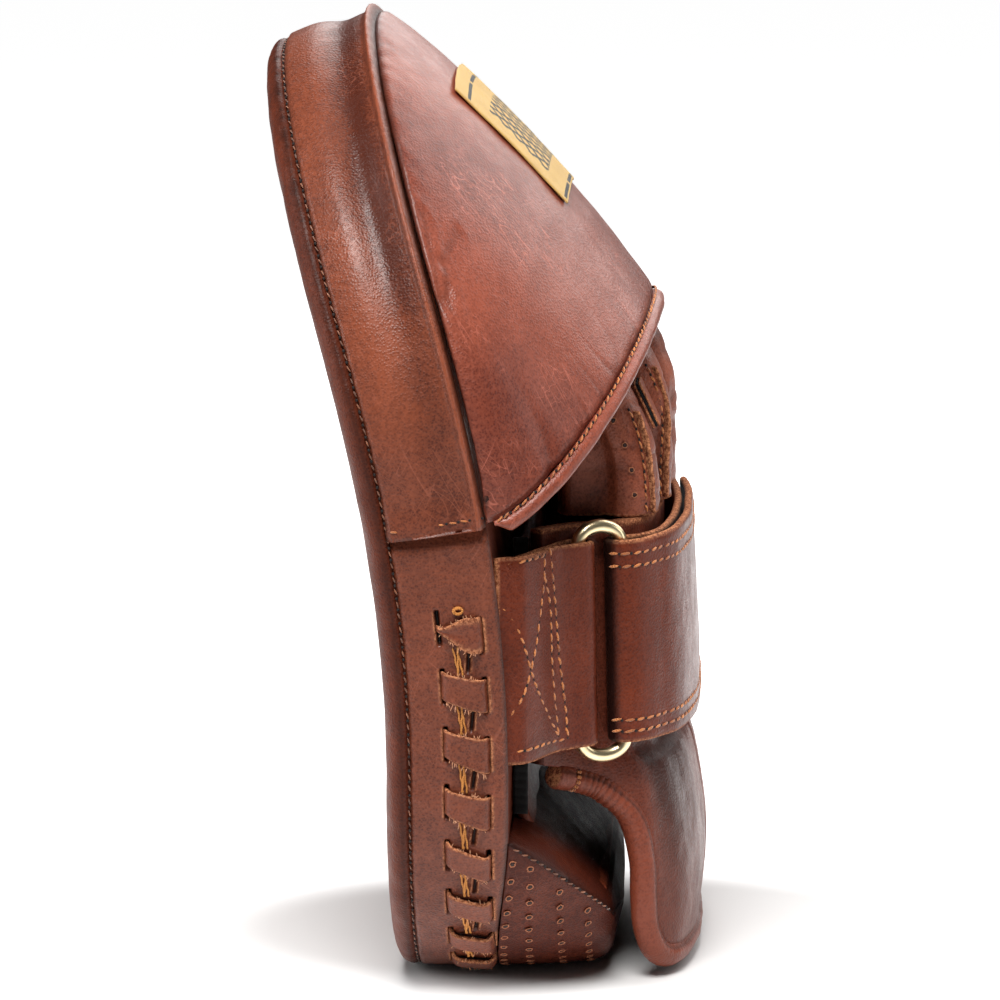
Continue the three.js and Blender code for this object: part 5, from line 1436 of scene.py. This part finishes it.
outs = np.unique(np.round(np.concatenate([np.linspace(0, 23.5, 54), profile[-8:, 0]]), 3))
side_grid = bolster_side(outs[:, None], np.linspace(-1, 1, TURNS)[None])
k = np.linspace(0, 1, 42)[1:-1][None, :, None]
top_grid = side_grid[:, -1:] * (1 - k) + side_grid[:, :1] * k
fuller = smooth(-1, 5, outs) * (1 - 0.5 * smooth(14, 24, outs))
bulge = np.sin(PI * k[..., 0]) ** 0.6 * fuller[:, None]
top_grid = top_grid + np.array([0, 0, 3.2]) * bulge[..., None]
rings = np.concatenate([side_grid, top_grid], 1)
last = rings[-1]
centre = last.mean(0) + [0, 0.9, 0]
closing = []
for share in (0.12, 0.3, 0.55, 0.8, 1.0):
    domed = np.array([0, 0.9 * np.sin(PI * share / 2), 0]) * (share < 1)
    closing.append(last * (1 - share) + centre * share + domed)
rings = np.concatenate([rings, np.stack(closing)])
normal = ring_normals(rings)
normal *= -np.sign(normal[5:40, 60:160, 2].mean())
offset = (0.5 * waves(rings, 40, 151) + 0.1 * waves(rings, 8, 152)) * smooth(0.2, 5, rings[..., 2])
place = np.arange(rings.shape[1])
edge_gap = np.minimum(np.abs(place - TURNS + 1), place + 1)[None]
rings = rings + normal * (offset - 0.7 * hump(edge_gap, 1.6))[..., None]
rings[..., 2] = np.maximum(rings[..., 2], 0.0)
# Painted shade along the seam edges, and painted shade over the whole cushion, which sits low at the foot.
groove = np.broadcast_to(0.7 * hump(edge_gap, 1.3), rings.shape[:2])
marks = {"groove": groove, "worn": 0.35 * waves(rings, 36, 153) - 0.8}
bolster = tube("heel_cushion_padded", rings, panel_look, marks)
slots([bolster], ("heel_bolster",))

# %% [markdown]
# The air holes stand in staggered columns that follow the cushion's side. They are low lips round sunken
# discs of painted shade, because real holes through the padded hide would cut its mesh into slivers.

# %% Air holes and seam of the cushion
spots = []
for column, out in enumerate(-1.5 + HOLE_ROW * np.arange(4)):
    _, reach = cushion_top(out)
    for place in (np.arange(-40, 41) + 0.5 * (column % 2)) * HOLE_PITCH:
        if abs(place) < reach - 3.4:
            spots.append((max(out, 1.2), place / reach))
out, turned = np.array(spots).T
at = bolster_side(out, turned)
up = unit(np.cross(bolster_side(out + 0.2, turned) - at, bolster_side(out, turned + 0.004) - at))
up *= -np.sign(up[:, 2].mean())
keep = at[:, 2] > 0.6
eyelets("cushion_air", at[keep] + up[keep] * 0.12, up[keep], 0.95, lip_look)
for side, name in SIDES:
    out = np.linspace(0.6, 24.5, 120)
    share = side * (1 - 1.1 / cushion_top(out)[1])
    line = bolster_side(out, share)
    up = unit(np.cross(np.gradient(line, axis=0), bolster_side(out, share - side * 0.01) - line))
    up *= np.sign((up[:, 0] * side).mean())
    stitches(f"cushion_seam_{name}", line + up * 0.1, up, seam_thread, 2.9, 1.7, 0.5, 22, 160 + side)
print("cushion", len(bolster.data.polygons), "holes", int(keep.sum()))

# %% [markdown]
# The palm panel is a plain sheet that hangs down the pad's back and turns out over the cushion. The side
# elastics are upright bands between the pad and the glove, and their ribs are modelled because the photo
# shows them as lines.

# %% Palm panel and side elastic
PALM_THICK, ELASTIC_THICK = 3.0, 1.6
PALM_LINE = [
    # out from the seat, height, share of the width
    (0, 112, 1),
    (0, 78, 1),
    (0.2, 47, 1),
    (4, 38.5, 0.95),
    (8, 34, 0.92),
    (14.8, 28, 0.88),
    (21.5, 22, 0.82),
]
out_x, in_x = (glove_point(np.zeros(1), np.full(1, STRAP_RISE), depth)[0] for depth in (0.0, GLOVE_WALL))
half = in_x[0] - ELASTIC_THICK - 2 * CLEAR
fine = curve([(SEAT + y, z, share * SHARE_MM) for y, z, share in PALM_LINE], 200)
run = np.linalg.norm(np.diff(fine[:, :2], axis=0), axis=1).sum()
u, v = edge_shares(run, PALM_THICK, 1.2), edge_shares(2 * half, PALM_THICK, 1.4)
y, z, wide = sample(u, np.linspace(0, 1, 200), fine).T[..., None]
grid = np.stack(np.broadcast_arrays(half * wide / SHARE_MM * (2 * v - 1), y + 1.9, z + 0.9), -1)
size, dent = (run, 2 * half), 0.3 * waves(grid, 26, 171)
palm = sheet("palm_panel_hide", grid, u, v, size, PALM_THICK, panel_look, dent, lining=0.0, cut=0.0)
slots([palm], ("palm_panel",))
deep = min(out_x[1], in_x[1]) - SEAT - 2 * CLEAR
u, v = edge_shares(ELASTIC_TALL, ELASTIC_THICK, 0.4), edge_shares(deep, ELASTIC_THICK, 0.5)
uu, vv = np.meshgrid(u, v, indexing="ij")
ribs = 0.16 * np.sin(2 * PI * uu * ELASTIC_TALL / 2.1) + 0.06 * np.sin(2 * PI * vv * deep / 0.9)
for side, name in SIDES:
    middle = side * (out_x[0] + in_x[0]) / 2
    grid = np.stack([middle + 0 * uu, SEAT + deep * vv, ELASTIC_FOOT + ELASTIC_TALL * uu], -1)
    size = (ELASTIC_TALL, deep)
    strip = sheet(f"side_elastic_{name}_band", grid, u, v, size, 1.4, elastic_look, ribs, lining=0.0)
    slots([strip], (f"side_elastic_{name}",))
print("palm", round(float(run), 1), "by", round(float(2 * half), 1))

# %% [markdown]
# Seam threads of the pad lie in the groove between the face and the gusset, and across the gusset's
# lapped joint.

# %% Seam stitches
d_line = np.linspace(0.4, 2 * HALF - 0.4, 1800)
line = rim(d_line, 0.55, FRONT_EDGE + 0.35)
_, s, nx, ns = outline(d_line)
up = unit(bent(nx, s + ns, 0.0) - bent(0 * nx, s, 0.0))
stitches("front_seam", line, up, seam_thread, pitch=3.2, length=1.7, width=0.36, slant=14, seed=5, lift=0.0)
JOINT_STITCH = {"pitch": 2.9, "length": 1.9, "width": 0.6, "slant": -12, "lift": 0.05}
for side, name in SIDES:
    place = side * (JOINT_AT + 2.0)
    line = rim(place, -1.55, np.linspace(FRONT_EDGE + 0.8, BACK_FACE - 0.6, 60))
    _, _, nx, ns = outline(place)
    up = np.tile(unit(np.array([nx, 0.0, ns])), (60, 1))
    stitches(f"joint_seam_{name}", line, up, strap_thread, seed=6, **JOINT_STITCH)

# %% [markdown]
# The photo was taken with a long lens a little above the mitt, against white. A big soft light stands
# behind the mitt, a smaller key light hangs above it on the camera's side, and two narrow ones draw the
# glints along the front and the hand side. The white sky is weak, because a strong one would lay a haze
# over the dark leather.

# %% Camera, floor and light
TARGET, AZIMUTH, ELEVATION, DISTANCE, PIXEL = (0.0, 6.8, 117.0), 92.5, 10.0, 1550.0, 0.265
az, el = np.radians(AZIMUTH), np.radians(ELEVATION)
eye = np.array(TARGET) + DISTANCE * np.array([np.sin(az) * np.cos(el), -np.cos(az) * np.cos(el), np.sin(el)])
camera_data = bpy.data.cameras.new("camera")
camera_data.lens = 36 * DISTANCE / PIXEL / 1000
camera_data.sensor_width = 36
camera = linked("camera", camera_data)


def aim(piece, place, target):
    """Puts a camera or lamp at a place in millimetres, looking at a target."""
    piece.location = Vector(place) * MM
    piece.rotation_euler = (Vector(target) - Vector(place)).to_track_quat("-Z", "Y").to_euler()


aim(camera, eye, TARGET)
bpy.context.scene.camera = camera


def softbox(name, place, target, size, watts, colour=(1, 1, 1)):
    """A rectangular soft light, its sizes in millimetres."""
    data = bpy.data.lights.new(name, "AREA")
    data.shape, data.size, data.size_y = "RECTANGLE", size[0] * MM, size[1] * MM
    data.energy, data.color = watts, colour
    aim(linked(name, data), place, target)


softbox("back", (-700, 350, 750), (0, 0, 130), (1400, 900), 11, (1.0, 0.99, 0.98))
softbox("key", (560, -40, 920), (0, 0, 110), (450, 450), 14, (1.0, 0.985, 0.965))
softbox("left_strip", (120, -900, 380), (0, 0, 150), (220, 800), 3.5)
softbox("right_strip", (60, 900, 260), (0, 30, 90), (260, 600), 1.2)

# %% [markdown]
# A grey floor with white paper on it, which widens away from the camera as its view does. The paper glows
# a little, but not under the mitt, so that the ground is as white as the photo's and the mitt's foot and
# shadow stay dark. A uniform glow would light the foot from below. The floor's lengths are metres.

# %% Floor
FLOOR_HALF, FLOOR_STEPS, CLOSER, GLOW, SKY = 6.0, 221, 5.2, 0.93, 0.06
line = np.sinh(np.linspace(-CLOSER, CLOSER, FLOOR_STEPS)) / np.sinh(CLOSER) * FLOOR_HALF
xx, yy = np.meshgrid(line, line, indexing="ij")
faces, _ = grid_faces(FLOOR_STEPS, FLOOR_STEPS, False)
mesh = bpy.data.meshes.new("floor")
mesh.from_pydata(np.stack([xx, yy, 0 * xx], -1).reshape(-1, 3).tolist(), [], faces.tolist())
paper = (1 - smooth(0.17, 0.4, np.abs(yy - 0.007 - 0.0436 * xx) + 0.09 * xx)) * (1 - smooth(0.14, 0.24, xx))
away = np.maximum(np.hypot(xx / 0.05, (yy - 0.034) / 0.085) - 1, 0)
glow = (0.6 * smooth(0.0, 0.5, away) + 0.4 * smooth(0.0, 1.1, away)) * (0.3 + 0.7 * paper)
glow = glow * (1 - 0.35 * smooth(0.02, 0.08, xx))
for name, values in (("glow", glow), ("paper", paper)):
    mesh.attributes.new(name, "FLOAT", "POINT").data.foreach_set("value", values.ravel())
look = Look("paper")
grey = look.mix(look.mark("paper"), (0.5, 0.5, 0.5, 1), (0.72, 0.72, 0.72, 1))
shining = look.times(look.mark("glow"), GLOW)
look.set(Base_Color=grey, Emission_Strength=shining, Emission_Color=(1, 1, 1, 1), Roughness=0.9)
mesh.materials.append(look.material)
floor = linked("floor", mesh)
print("floor", len(mesh.polygons), "faces")

world = bpy.data.worlds.new("white")
bpy.context.scene.world = world
world.use_nodes = True
world.node_tree.nodes["Background"].inputs["Color"].default_value = (1, 1, 1, 1)
world.node_tree.nodes["Background"].inputs["Strength"].default_value = SKY
bpy.context.scene.view_settings.view_transform = "Standard"
